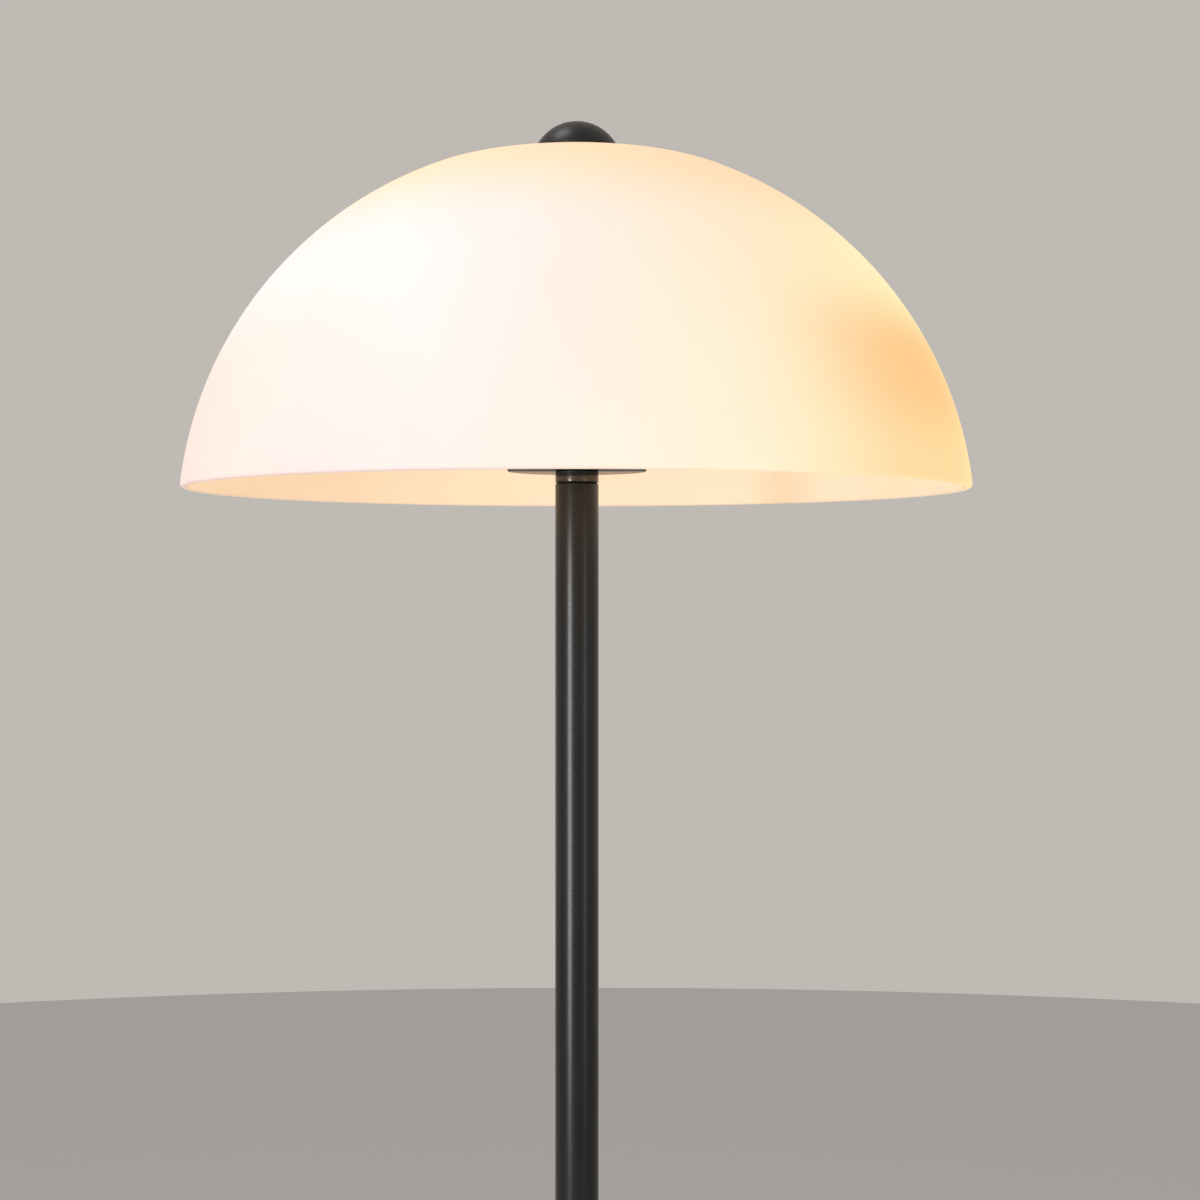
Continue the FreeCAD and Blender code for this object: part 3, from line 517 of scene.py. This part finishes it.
def threaded_sleeve(one_turn, pitch, steps_a_turn, low, high):
    """A thread's outside: one turn wound up the axis, repeated, and cut off level at both ends."""
    thread = bmesh.new()
    vertices = [thread.verts.new((radius, 0.0, low - pitch + rise)) for radius, rise in one_turn]
    for start, end in zip(vertices, vertices[1:]):
        thread.edges.new((start, end))
    bmesh.ops.spin(thread, geom=thread.verts[:] + thread.edges[:], cent=(0, 0, 0), axis=(0, 0, 1),
                   dvec=(0, 0, pitch / steps_a_turn), angle=2 * math.pi,
                   steps=steps_a_turn, use_merge=False, use_duplicate=False)
    wound = pitch
    while wound < high - low + 2 * pitch:
        copied = bmesh.ops.duplicate(thread, geom=thread.verts[:] + thread.edges[:] + thread.faces[:])
        copied_vertices = [item for item in copied["geom"] if isinstance(item, bmesh.types.BMVert)]
        bmesh.ops.translate(thread, verts=copied_vertices, vec=(0, 0, wound))
        wound *= 2
    bmesh.ops.remove_doubles(thread, verts=thread.verts[:], dist=thread_merge_distance)
    for height, upwards in ((low, -1.0), (high, 1.0)):
        bmesh.ops.bisect_plane(thread, geom=thread.verts[:] + thread.edges[:] + thread.faces[:],
                               dist=cut_distance, plane_co=(0, 0, height), plane_no=(0, 0, upwards),
                               clear_outer=True)
    return thread


def carry_edge(shape, height, rings):
    """Carries the open edge at a height on through rings of (radius, height)."""
    edges = [edge for edge in shape.edges if edge.is_boundary
             and all(abs(vertex.co.z - height) < edge_reach for vertex in edge.verts)]
    for radius, ring_height in rings:
        made = bmesh.ops.extrude_edge_only(shape, edges=edges)["geom"]
        edges = [item for item in made if isinstance(item, bmesh.types.BMEdge) and item.is_boundary]
        for item in made:
            if isinstance(item, bmesh.types.BMVert):
                across = Vector((item.co.x, item.co.y, 0.0)).normalized() * radius
                item.co = (across.x, across.y, ring_height)


rod_root = rod_high.x - rod_thread_depth
rod_thread = threaded_sleeve([
    (rod_root, 0.0),
    (rod_high.x, rod_crest_start),
    (rod_high.x, rod_crest_end),
    (rod_root, rod_pitch),
], rod_pitch, rod_steps_a_turn, rod_low.z, rod_high.z)
for end_z, bore_end_z in (
    (rod_high.z, rod_high.z - rod_bore_shown),
    (rod_low.z, rod_low.z + rod_bore_shown),
):
    carry_edge(rod_thread, end_z, [(rod_bore, end_z), (rod_bore, bore_end_z), (0.0, bore_end_z)])
close_seams(rod_thread)
central_rod = as_piece("rolled_central_rod", rod_thread)
fit_piece(central_rod, zinc_plated_steel, "stand", "central_rod")


# ------------------------------------------------------------------ lampholders
# Three holders for small-screw bulbs stand on hollow nipples on the disc. Each has a white moulded
# cup and a ribbed skirt, a ceramic core with a brass screw shell, and a spring contact.
holder_circle = 25.0 * mm
holder_angles = {"front": -90.0, "right": 30.0, "left": 150.0}
holder_wall = 1.5 * mm
holder_joint_round = 0.3 * mm
cup_bore = 5.03 * mm
cup_foot = 9.0 * mm
cup_foot_height = 4.0 * mm
cup_foot_round = 0.5 * mm
cup_round = 1.2 * mm
skirt_mouth = 11.2 * mm
skirt_mouth_round = 0.4 * mm
skirt_lip = 1.2 * mm
skirt_round = 0.8 * mm
skirt_ribs = 30
skirt_steps_a_rib = 6
skirt_rib_depth = 0.35 * mm
skirt_rib_run_out = 0.5 * mm
skirt_plain_band = 5.0 * mm
ceramic_dark = (0.80, 0.79, 0.75, 1.0)
ceramic_light = (0.90, 0.89, 0.86, 1.0)

white_ceramic = grained_finish("white_ceramic", ceramic_dark, ceramic_light, roughness=(0.15, 0.3),
                               fine_scale=900.0, broad_scale=80.0, depth=0.01 * mm)


def to_holder(piece, side):
    """Moves a piece that was made on the lamp's axis out to the axis of one lampholder."""
    turn = math.radians(holder_angles[side])
    middle = (holder_circle * math.cos(turn), holder_circle * math.sin(turn), 0.0)
    piece.data.transform(Matrix.Translation(middle))


def press_ribs(piece, outer_radius, low, high):
    """Presses upright grooves into the outside of a sleeve, between two heights."""
    for vertex in piece.data.vertices:
        radius = math.hypot(vertex.co.x, vertex.co.y)
        if low < vertex.co.z < high and radius > outer_radius - holder_wall / 2:
            turn = math.atan2(vertex.co.y, vertex.co.x)
            groove = (1 + math.cos(skirt_ribs * turn)) / 2
            shrink = 1 - groove * skirt_rib_depth / outer_radius
            vertex.co.x *= shrink
            vertex.co.y *= shrink


for side in holder_angles:
    cup_low, cup_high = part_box(side + "_holder_cup")
    skirt_low, skirt_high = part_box(side + "_holder_skirt")
    holder_radius = (cup_high.x - cup_low.x) / 2
    holder_inside = holder_radius - holder_wall
    cup_cone_z = cup_low.z + cup_foot_height
    cup_side_z = cup_cone_z + holder_radius - cup_foot
    cup = spun_piece(side + "_moulded_cup", [
        (cup_bore, cup_low.z),
        (cup_foot, cup_low.z, cup_foot_round),
        (cup_foot, cup_cone_z, cup_round),
        (holder_radius, cup_side_z, cup_round),
        (holder_radius, cup_high.z, holder_joint_round),
        (holder_inside, cup_high.z),
        (holder_inside, cup_side_z + holder_wall / 2),
        (cup_foot - holder_wall, cup_cone_z + holder_wall / 2),
        (cup_foot - holder_wall, cup_low.z + holder_wall),
        (cup_bore, cup_low.z + holder_wall),
    ], steps=72)
    to_holder(cup, side)
    fit_piece(cup, white_plastic, "stand", side + "_holder_cup")

    rib_low = skirt_low.z + skirt_plain_band / 2
    rib_high = skirt_high.z - skirt_plain_band
    skirt = spun_piece(side + "_ribbed_skirt", [
        (holder_inside, skirt_low.z),
        (holder_radius, skirt_low.z, holder_joint_round),
        (holder_radius, rib_low - skirt_rib_run_out),
        (holder_radius, rib_low + skirt_rib_run_out),
        (holder_radius, rib_high - skirt_rib_run_out),
        (holder_radius, rib_high + skirt_rib_run_out),
        (holder_radius, skirt_high.z, skirt_round),
        (skirt_mouth, skirt_high.z, skirt_mouth_round),
        (skirt_mouth, skirt_high.z - skirt_lip),
        (holder_inside, skirt_high.z - skirt_lip),
    ], steps=skirt_ribs * skirt_steps_a_rib)
    press_ribs(skirt, holder_radius, rib_low, rib_high)
    to_holder(skirt, side)
    fit_piece(skirt, white_plastic, "stand", side + "_holder_skirt")
    finish_nodes(white_ceramic, [side + "_holder_core"])
    finish_nodes(brass, [side + "_holder_shell", side + "_holder_contact"])


# ------------------------------------------------------------------ bulbs
# Three candle bulbs of frosted glass on nickel-plated screw caps. The cap's thread is rolled into
# thin sheet, and its end is black glass with a soldered tip.
bulb_neck = 7.6 * mm
bulb_bulge = 17.5 * mm
bulb_shoulder = 27.0 * mm
bulb_taper = 42.0 * mm
bulb_tip_radius = 4.5 * mm
bulb_wall = 1.0 * mm
bulb_outer_steps = (14, 14, 8)
bulb_inner_steps = (8, 8, 5)
cap_crest = 6.9 * mm
cap_root = 6.3 * mm
cap_crest_ease = 0.08 * mm
cap_root_ease = 0.1 * mm
cap_pitch = 2.82 * mm
cap_turns = 5
cap_skirt = 7.9 * mm
cap_wall = 0.35 * mm
cap_steps_a_turn = 48
frost_dark = (0.86, 0.82, 0.76, 1.0)
frost_light = (0.95, 0.93, 0.90, 1.0)
bulb_glow = (1.0, 0.76, 0.46, 1.0)
bulb_glow_strength = 1.6
nickel_dark = (0.52, 0.50, 0.46, 1.0)
nickel_light = (0.70, 0.68, 0.64, 1.0)
cap_glass_dark = (0.010, 0.010, 0.012, 1.0)
cap_glass_light = (0.030, 0.028, 0.030, 1.0)

frosted_bulb_glass = grained_finish("frosted_bulb_glass", frost_dark, frost_light, roughness=(0.4, 0.6),
                                    fine_scale=2400.0, broad_scale=40.0, depth=0.01 * mm)
set_shader(frosted_bulb_glass, {"Emission Color": bulb_glow, "Emission Strength": bulb_glow_strength})
nickel_plated_brass = grained_finish("nickel_plated_brass", nickel_dark, nickel_light,
                                     roughness=(0.18, 0.32), fine_scale=2000.0, broad_scale=200.0,
                                     depth=0.006 * mm, metallic=1.0)
black_cap_glass = grained_finish("black_cap_glass", cap_glass_dark, cap_glass_light, roughness=(0.08, 0.2),
                                 fine_scale=1500.0, broad_scale=300.0, depth=0.01 * mm)


def draw_arc(section, vertex, center, turn_deg, steps):
    """Draws on from a vertex round a centre; a positive turn goes from outwards to upwards."""
    made = bmesh.ops.spin(section, geom=[vertex], cent=(center[0], 0.0, center[1]), axis=(0, -1, 0),
                          dvec=(0, 0, 0), angle=math.radians(turn_deg), steps=steps,
                          use_merge=False, use_duplicate=False)
    return made["geom_last"][0]


def arc_radius_to_upright(run, rise):
    """Radius of the arc that ends upright after going out by a run over a rise."""
    return (run * run + rise * rise) / (2 * run)


def candle_section(neck_z):
    """Half section of the bulb's glass wall: foot, taper and tip arcs outside, and the same inside."""
    lower = arc_radius_to_upright(bulb_bulge - bulb_neck, bulb_shoulder)
    upper = arc_radius_to_upright(bulb_bulge - bulb_tip_radius, bulb_taper)
    bulge_z = neck_z + bulb_shoulder
    lower_center = (bulb_bulge - lower, bulge_z)
    upper_center = (bulb_bulge - upper, bulge_z)
    taper_deg = math.degrees(math.asin(bulb_taper / upper))
    tip = bulb_tip_radius / math.cos(math.radians(taper_deg))
    tip_center = (0.0, bulge_z + bulb_taper - tip * math.sin(math.radians(taper_deg)))
    section = bmesh.new()
    feet = []
    for inset, steps in ((0.0, bulb_outer_steps), (bulb_wall, bulb_inner_steps)):
        foot_deg = math.degrees(math.asin(bulb_shoulder / (lower - inset)))
        foot_radius = lower_center[0] + (lower - inset) * math.cos(math.radians(foot_deg))
        foot = section.verts.new((foot_radius, 0.0, neck_z))
        pen = draw_arc(section, foot, lower_center, foot_deg, steps[0])
        pen = draw_arc(section, pen, upper_center, taper_deg, steps[1])
        draw_arc(section, pen, tip_center, 90.0 - taper_deg, steps[2])
        feet.append(foot)
    section.edges.new(feet)
    return section


def cap_thread_turn():
    """One turn of the cap's thread: a rounded wave that rises to its crest and falls the same way."""
    rise = [
        (cap_root, 0.0),
        (cap_root + cap_root_ease, 0.15 * cap_pitch),
        (cap_crest - cap_crest_ease, 0.36 * cap_pitch),
    ]
    fall = [(radius, cap_pitch - height) for radius, height in reversed(rise)]
    return rise + [(cap_crest, cap_pitch / 2)] + fall


for side in holder_angles:
    neck_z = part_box(side + "_bulb_glass")[0].z
    bulb_shape = spin_section(candle_section(neck_z), steps=72)
    bulb = as_piece(side + "_candle_bulb", bulb_shape, sharp_deg=60.0)
    to_holder(bulb, side)
    fit_piece(bulb, frosted_bulb_glass, side + "_bulb", side + "_bulb_glass")

    cap_low, cap_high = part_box(side + "_bulb_cap")
    thread_top = cap_low.z + cap_turns * cap_pitch
    skirt_z = (thread_top + cap_high.z) / 2
    cap_shape = threaded_sleeve(cap_thread_turn(), cap_pitch, cap_steps_a_turn, cap_low.z, thread_top)
    carry_edge(cap_shape, thread_top, [
        (cap_skirt, skirt_z),
        (cap_skirt, cap_high.z),
        (cap_skirt - cap_wall, cap_high.z),
        (cap_skirt - cap_wall, skirt_z),
        (cap_root - cap_wall, thread_top),
        (cap_root - cap_wall, cap_low.z),
    ])
    open_edges = [edge for edge in cap_shape.edges if edge.is_boundary]
    bmesh.ops.bridge_loops(cap_shape, edges=open_edges)
    bmesh.ops.recalc_face_normals(cap_shape, faces=cap_shape.faces[:])
    cap = as_piece(side + "_rolled_screw_cap", cap_shape)
    to_holder(cap, side)
    fit_piece(cap, nickel_plated_brass, side + "_bulb", side + "_bulb_cap")
    finish_nodes(black_cap_glass, [side + "_bulb_contact"])


# ------------------------------------------------------------------ leads
# Grey sheathed lead from the terminals up the pole to a splice sleeve, and three thin leads from
# there to the lampholders. They are soft plastic, slightly mottled.
sheath_dark = (0.40, 0.40, 0.39, 1.0)
sheath_light = (0.50, 0.50, 0.48, 1.0)

grey_lead_sheath = grained_finish("grey_lead_sheath", sheath_dark, sheath_light, roughness=(0.5, 0.65),
                                  fine_scale=2600.0, broad_scale=200.0, depth=0.02 * mm)
finish_nodes(grey_lead_sheath, ["main_lead", "lead_splice", "holder_leads"])


# ------------------------------------------------------------------ shade support
# A nut on the rod carries a pressed steel plate, painted white, with its edge turned down. A soft
# washer of clear silicone lies on it, and the glass rests on that.
support_low, support_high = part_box("shade_support")
support_wall = 1.5 * mm
support_inner_round = 0.3 * mm
support_edge_round = 0.2 * mm
washer_round = 0.4 * mm
paint_dark = (0.76, 0.75, 0.72, 1.0)
paint_light = (0.84, 0.83, 0.80, 1.0)
silicone_dark = (0.74, 0.74, 0.72, 1.0)
silicone_light = (0.86, 0.86, 0.84, 1.0)
silicone_clearness = 0.55
silicone_ior = 1.41

white_painted_steel = grained_finish("white_painted_steel", paint_dark, paint_light, roughness=(0.3, 0.42),
                                     fine_scale=1100.0, broad_scale=50.0, depth=0.015 * mm)
clear_silicone = grained_finish("clear_silicone", silicone_dark, silicone_light, roughness=(0.3, 0.45),
                                fine_scale=1800.0, broad_scale=150.0, depth=0.01 * mm)
set_shader(clear_silicone, {"Transmission Weight": silicone_clearness, "IOR": silicone_ior})

support = spun_piece("pressed_shade_support", [
    (collar_bore, support_high.z - support_wall),
    (support_high.x - support_wall, support_high.z - support_wall, support_inner_round),
    (support_high.x - support_wall, support_low.z),
    (support_high.x, support_low.z, support_edge_round),
    (support_high.x, support_high.z, support_wall),
    (collar_bore, support_high.z),
])
fit_piece(support, white_painted_steel, "stand", "shade_support")

lower_washer = ring_piece("lower_soft_washer", "lower_silicone_washer", collar_bore, washer_round)
fit_piece(lower_washer, clear_silicone, "stand", "lower_silicone_washer")
finish_nodes(zinc_plated_steel, ["support_nut"])


# ------------------------------------------------------------------ glass shade
# One mouth-blown dome of satin opal glass, with a fire-rounded rim and a drilled crown, held between
# two soft washers. Its glow is painted light: emission in the glass's own finish that stands for the
# bulbs' light through it. It is a warm white with painted light and shade that differs on each flank and
# at the back as the studio lights fall, and painted amber shade between two bulbs, round the crown and
# inside.
rim_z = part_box("glass_shade")[0].z
rim_radius = 225.6 * mm
rim_lean_deg = 6.22
side_arc = 221.8 * mm
side_end_deg = 67.4
shoulder_arc = 121.8 * mm
shoulder_end_deg = 79.0
glass_wall = 5.3 * mm
rim_outer_round = 2.4 * mm
rim_inner_round = 1.0 * mm
glass_hole = 6.5 * mm
glass_outer_steps = (40, 8, 10)
glass_inner_steps = (28, 6, 8)
opal_dark = (0.43, 0.425, 0.41, 1.0)
opal_light = (0.48, 0.475, 0.46, 1.0)
# painted light: the glass's glow colours. Right, Low left, High left and Back follow where the studio
# lights fall, and Crown, Between and Inside are painted amber shade
painted_glow_front = (0.74, 0.59, 0.45, 1.0)
painted_glow_elsewhere = {
    "Right": (0.95, 0.79, 0.39, 1.0),
    "Low left": (0.57, 0.42, 0.39, 1.0),
    "High left": (0.63, 0.60, 0.57, 1.0),
    "Back": (0.90, 0.75, 0.56, 1.0),
    "Crown": (0.84, 0.56, 0.31, 1.0),
    "Between": (0.92, 0.32, 0.02, 1.0),
    "Inside": (0.70, 0.48, 0.29, 1.0),
}
bulb_lobe_sharpness = 2.0
between_lobes = (0.88, 0.20)
between_low = (10 * mm, 55 * mm)
between_high = (115 * mm, 65 * mm)
between_sideways = (-200 * mm, 150 * mm)
right_flank = (0.0, rim_radius)
left_flank = (60 * mm, -100 * mm)
upper_half = (0.0, 120 * mm)
far_half = (-40 * mm, 120 * mm)
# the Back mask paints more glow where the left strip's light falls least
away_from_strip = (0.61, 0.79, 0.0)
far_from_strip = (-0.8, 0.1)
crown_rise = (125 * mm, 180 * mm)


def add_vector_math(nodes, links, operation, *values):
    """One sum on vectors; a dot product gives a value, and any other sum a vector."""
    sum_node = nodes.new("ShaderNodeVectorMath")
    sum_node.operation = operation
    for value, socket in zip(values, sum_node.inputs):
        give(links, value, socket)
    return sum_node.outputs["Value" if operation == "DOT_PRODUCT" else "Vector"]


def add_fade(nodes, links, value, span, lowest=0.0):
    """A mask that goes gently from its lowest at a span's first value to 1 at its second."""
    fade = add_range(nodes, links, value, lowest, 1.0, span[0], span[1])
    fade.node.interpolation_type = "SMOOTHSTEP"
    return fade


def make_painted_glow_group():
    """Masks, each from 0 to 1, for the painted light of the glass's glow. Right and Low left are the
    flanks,
    High left is the upper half of that flank, and Back is the far half turned away from the left strip;
    these follow where the studio lights fall. Crown is round the hole, Between is midway between two bulbs
    on the side, and Inside is the inner skin; these three are painted amber shade."""
    group, given, result = effect_group("bulb_glow", ["Sharpness"], painted_glow_elsewhere)
    nodes, links = group.nodes, group.links
    place = nodes.new("ShaderNodeTexCoord")
    from_rim = add_vector_math(nodes, links, "SUBTRACT", place.outputs["Object"], (0.0, 0.0, rim_z))
    across, depth, height = add_split(nodes, links, from_rim)
    level = add_vector_math(nodes, links, "MULTIPLY", from_rim, (1.0, 1.0, 0.0))
    outwards = add_vector_math(nodes, links, "NORMALIZE", level)
    lobes = 0.0
    for turn_deg in holder_angles.values():
        turn = math.radians(turn_deg)
        to_bulb = (math.cos(turn), math.sin(turn), 0.0)
        facing = add_vector_math(nodes, links, "DOT_PRODUCT", outwards, to_bulb)
        lobe = add_math(nodes, links, "MAXIMUM", facing, 0.0)
        lobe = add_math(nodes, links, "POWER", lobe, given.outputs["Sharpness"])
        lobes = add_math(nodes, links, "ADD", lobe, lobes)
    # painted amber shade midway between two bulbs, low on the side
    between = add_fade(nodes, links, lobes, between_lobes)
    for value, span, lowest in (
        (height, between_low, 0.6),
        (height, between_high, 0.0),
        (across, between_sideways, 0.3),
    ):
        fade = add_fade(nodes, links, value, span, lowest)
        between = add_math(nodes, links, "MULTIPLY", between, fade)
    left = add_fade(nodes, links, across, left_flank)
    high = add_fade(nodes, links, height, upper_half)
    far = add_fade(nodes, links, depth, far_half)
    turned_away = add_vector_math(nodes, links, "DOT_PRODUCT", outwards, away_from_strip)
    unlit = add_fade(nodes, links, turned_away, far_from_strip)
    skin = add_vector_math(nodes, links, "DOT_PRODUCT", from_rim, place.outputs["Normal"])
    masks = {
        "Right": add_fade(nodes, links, across, right_flank),
        "Low left": left,
        "High left": add_math(nodes, links, "MULTIPLY", left, high),
        "Back": add_math(nodes, links, "MULTIPLY", far, unlit),
        "Crown": add_fade(nodes, links, height, crown_rise),
        "Between": between,
        "Inside": add_math(nodes, links, "LESS_THAN", skin, 0.0),
    }
    for label, mask in masks.items():
        links.new(mask, result.inputs[label])
    return group


def paint_glow_on(glass):
    """Paints the glow's light and shade on the glass as emission, mixing its colours one after the other
    by the masks of their places.
    """
    nodes, links = glass.node_tree.nodes, glass.node_tree.links
    glow = add_effect(nodes, make_painted_glow_group(), {"Sharpness": bulb_lobe_sharpness})
    colour = painted_glow_front
    for label, glow_colour in painted_glow_elsewhere.items():
        colour = add_mix(nodes, links, glow[label], colour, glow_colour)
    links.new(colour, nodes["Principled BSDF"].inputs["Emission Color"])
    set_shader(glass, {"Emission Strength": 1.0})


def dome_section():
    """Half section of the glass wall: side, shoulder and crown arcs outside, and the same inside."""
    lean = math.radians(rim_lean_deg)
    side_end = math.radians(side_end_deg)
    shoulder_end = math.radians(shoulder_end_deg)
    side_center = (rim_radius - side_arc * math.cos(lean), rim_z - side_arc * math.sin(lean))
    step = side_arc - shoulder_arc
    shoulder_center = (side_center[0] + step * math.cos(side_end),
                       side_center[1] + step * math.sin(side_end))
    crown_arc = shoulder_arc + shoulder_center[0] / math.cos(shoulder_end)
    crown_center = (0.0, shoulder_center[1] - (crown_arc - shoulder_arc) * math.sin(shoulder_end))
    section = bmesh.new()
    ends = []
    for inset, steps in ((0.0, glass_outer_steps), (glass_wall, glass_inner_steps)):
        start_deg = math.degrees(math.asin((rim_z - side_center[1]) / (side_arc - inset)))
        hole_deg = math.degrees(math.acos(glass_hole / (crown_arc - inset)))
        start_radius = side_center[0] + (side_arc - inset) * math.cos(math.radians(start_deg))
        rim_corner = section.verts.new((start_radius, 0.0, rim_z))
        pen = draw_arc(section, rim_corner, side_center, side_end_deg - start_deg, steps[0])
        pen = draw_arc(section, pen, shoulder_center, shoulder_end_deg - side_end_deg, steps[1])
        hole_corner = draw_arc(section, pen, crown_center, hole_deg - shoulder_end_deg, steps[2])
        ends.append((rim_corner, hole_corner))
    section.edges.new((ends[0][1], ends[1][1]))
    section.edges.new((ends[0][0], ends[1][0]))
    round_corner(section, ends[0][0], rim_outer_round)
    round_corner(section, ends[1][0], rim_inner_round)
    return section


opal_glass = grained_finish("opal_glass", opal_dark, opal_light, roughness=(0.58, 0.66), fine_scale=900.0,
                            broad_scale=9.0, depth=0.4 * mm, relief="Broad")
paint_glow_on(opal_glass)
shade = as_piece("opal_glass_dome", spin_section(dome_section(), steps=240), sharp_deg=50.0)
fit_piece(shade, opal_glass, "shade", "glass_shade")
finish_nodes(clear_silicone, ["shade_bush"])

upper_low, upper_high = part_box("upper_silicone_washer")
upper_bore = 5.3 * mm
upper_thickness_at_bore = 1.5 * mm
upper_thickness_halfway = 1.75 * mm
upper_washer = spun_piece("upper_soft_washer", [
    (upper_bore, upper_high.z - upper_thickness_at_bore),
    (upper_high.x / 2, upper_high.z - upper_thickness_halfway),
    (upper_high.x, upper_low.z),
    (upper_high.x, upper_high.z, washer_round),
    (upper_bore, upper_high.z),
])
fit_piece(upper_washer, clear_silicone, "shade", "upper_silicone_washer")


# ------------------------------------------------------------------ finial
# A half-ball of steel, turned and powder coated satin black, with a brass thread pressed into its
# flat underside. It screws onto the rod over a plated washer and holds the glass down.
finial_low, finial_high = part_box("finial")
finial_sphere = 26.3 * mm
finial_sphere_steps = 24
finial_edge_round = 0.6 * mm
finial_seat = 8.03 * mm
finial_insert_length = 10.0 * mm
finial_bore = 5.3 * mm
finial_bore_depth = 10.5 * mm

finial_coat = powder_coat("finial_coat", fine_scale=900.0, depth=0.015 * mm, roughness=(0.32, 0.42))


def draw_line(section, vertex, radius, height):
    """Draws on from a vertex straight to a new corner."""
    made = bmesh.ops.extrude_vert_indiv(section, verts=[vertex])
    made["verts"][0].co = (radius, 0.0, height)
    return made["verts"][0]


def finial_section():
    """Half section of the half-ball with its stepped bore."""
    center_z = finial_high.z - finial_sphere
    base_radius = math.sqrt(finial_sphere ** 2 - (finial_low.z - center_z) ** 2)
    base_deg = math.degrees(math.acos(base_radius / finial_sphere))
    insert_top_z = finial_low.z + finial_insert_length
    bore_top_z = finial_low.z + finial_bore_depth
    section = bmesh.new()
    edge_corner = section.verts.new((base_radius, 0.0, finial_low.z))
    draw_arc(section, edge_corner, (0.0, center_z), 90.0 - base_deg, finial_sphere_steps)
    pen = edge_corner
    for radius, height in (
        (finial_seat, finial_low.z),
        (finial_seat, insert_top_z),
        (finial_bore, insert_top_z),
        (finial_bore, bore_top_z),
        (0.0, bore_top_z),
    ):
        pen = draw_line(section, pen, radius, height)
    round_corner(section, edge_corner, finial_edge_round)
    return section


finial = as_piece("half_ball_finial", spin_section(finial_section(), steps=128))
fit_piece(finial, finial_coat, "finial", "finial")
finish_nodes(brass, ["finial_insert"])
finish_nodes(zinc_plated_steel, ["finial_washer"])


# ------------------------------------------------------------------ floor, light and camera
# Not part of the lamp: a pale floor and background, a high softbox and a tall strip light at the
# front left, a softbox above, a weak strip on the right, and a level view of the shade.
floor_radius = 6.0
floor_tone = (0.62, 0.59, 0.55, 1.0)
floor_shown = 0.45
background = (0.52, 0.49, 0.455, 1.0)
ambient = (0.80, 0.80, 0.80, 1.0)
ambient_strength = 0.08
shade_middle = (0.0, 0.0, 1.38)
strip_target = (0.0, 0.0, 1.15)
view_distance = 1.34
view_height = 1.2250
view_side = 0.0133
lens = 69.7

floor_shape = bmesh.new()
bmesh.ops.create_circle(floor_shape, cap_ends=True, segments=128, radius=floor_radius)
floor = as_piece("floor", floor_shape)
floor_material = grained_finish("pale_floor", floor_tone, floor_tone, roughness=(0.8, 0.9),
                                fine_scale=200.0, broad_scale=3.0, depth=0.02 * mm)
floor.data.materials.append(floor_material)


def add_shown_rays(nodes, links):
    """1 for what the camera, metal and glass show, and 0 for the light that falls on the lamp."""
    ray = nodes.new("ShaderNodeLightPath")
    seen = add_math(nodes, links, "ADD", ray.outputs["Is Camera Ray"], ray.outputs["Is Glossy Ray"])
    seen = add_math(nodes, links, "ADD", seen, ray.outputs["Is Transmission Ray"])
    return add_math(nodes, links, "MINIMUM", seen, 1.0)


def brighten_floor():
    """Makes the floor look pale under the dim studio light, without throwing more of it on the lamp."""
    nodes, links = floor_material.node_tree.nodes, floor_material.node_tree.links
    set_shader(floor_material, {"Emission Color": floor_tone})
    shown = add_math(nodes, links, "MULTIPLY", add_shown_rays(nodes, links), floor_shown)
    links.new(shown, nodes["Principled BSDF"].inputs["Emission Strength"])


def make_world():
    """Pale behind the lamp for the camera, metal and glass, and dimmer as light."""
    world = bpy.data.worlds.new("studio")
    world.use_nodes = True
    nodes, links = world.node_tree.nodes, world.node_tree.links
    light = nodes["Background"]
    light.inputs["Color"].default_value = ambient
    light.inputs["Strength"].default_value = ambient_strength
    shown = nodes.new("ShaderNodeBackground")
    shown.inputs["Color"].default_value = background
    choose = nodes.new("ShaderNodeMixShader")
    links.new(add_shown_rays(nodes, links), choose.inputs["Fac"])
    links.new(light.outputs["Background"], choose.inputs[1])
    links.new(shown.outputs["Background"], choose.inputs[2])
    links.new(choose.outputs["Shader"], nodes["World Output"].inputs["Surface"])
    return world


def add_softbox(name, width, height, power, place, target):
    """A soft rectangular lamp that faces a point."""
    lamp = bpy.data.lights.new(name, "AREA")
    lamp.shape = "RECTANGLE"
    lamp.size = width
    lamp.size_y = height
    lamp.energy = power
    holder = bpy.data.objects.new(name, lamp)
    holder.location = place
    holder.rotation_euler = (Vector(target) - Vector(place)).to_track_quat("-Z", "Y").to_euler()
    bpy.context.collection.objects.link(holder)


brighten_floor()
bpy.context.scene.world = make_world()
add_softbox("front_left_softbox", width=0.9, height=0.9, power=11.0, place=(-1.30, -1.72, 2.45),
            target=shade_middle)
add_softbox("left_strip", width=0.35, height=1.6, power=30.0, place=(-1.34, -1.74, 1.15),
            target=strip_target)
add_softbox("overhead_softbox", width=0.6, height=0.6, power=5.5, place=(-0.70, 0.15, 3.1),
            target=shade_middle)
add_softbox("right_strip", width=0.25, height=1.6, power=3.6, place=(1.53, -1.58, 1.15),
            target=strip_target)

camera_data = bpy.data.cameras.new("view")
camera_data.sensor_width = 36.0
camera_data.lens = lens
camera = bpy.data.objects.new("view", camera_data)
camera.location = (view_side, -view_distance, view_height)
camera.rotation_euler = (math.radians(90.0), 0.0, 0.0)
bpy.context.collection.objects.link(camera)
bpy.context.scene.camera = camera
bpy.context.scene.view_settings.view_transform = "Standard"
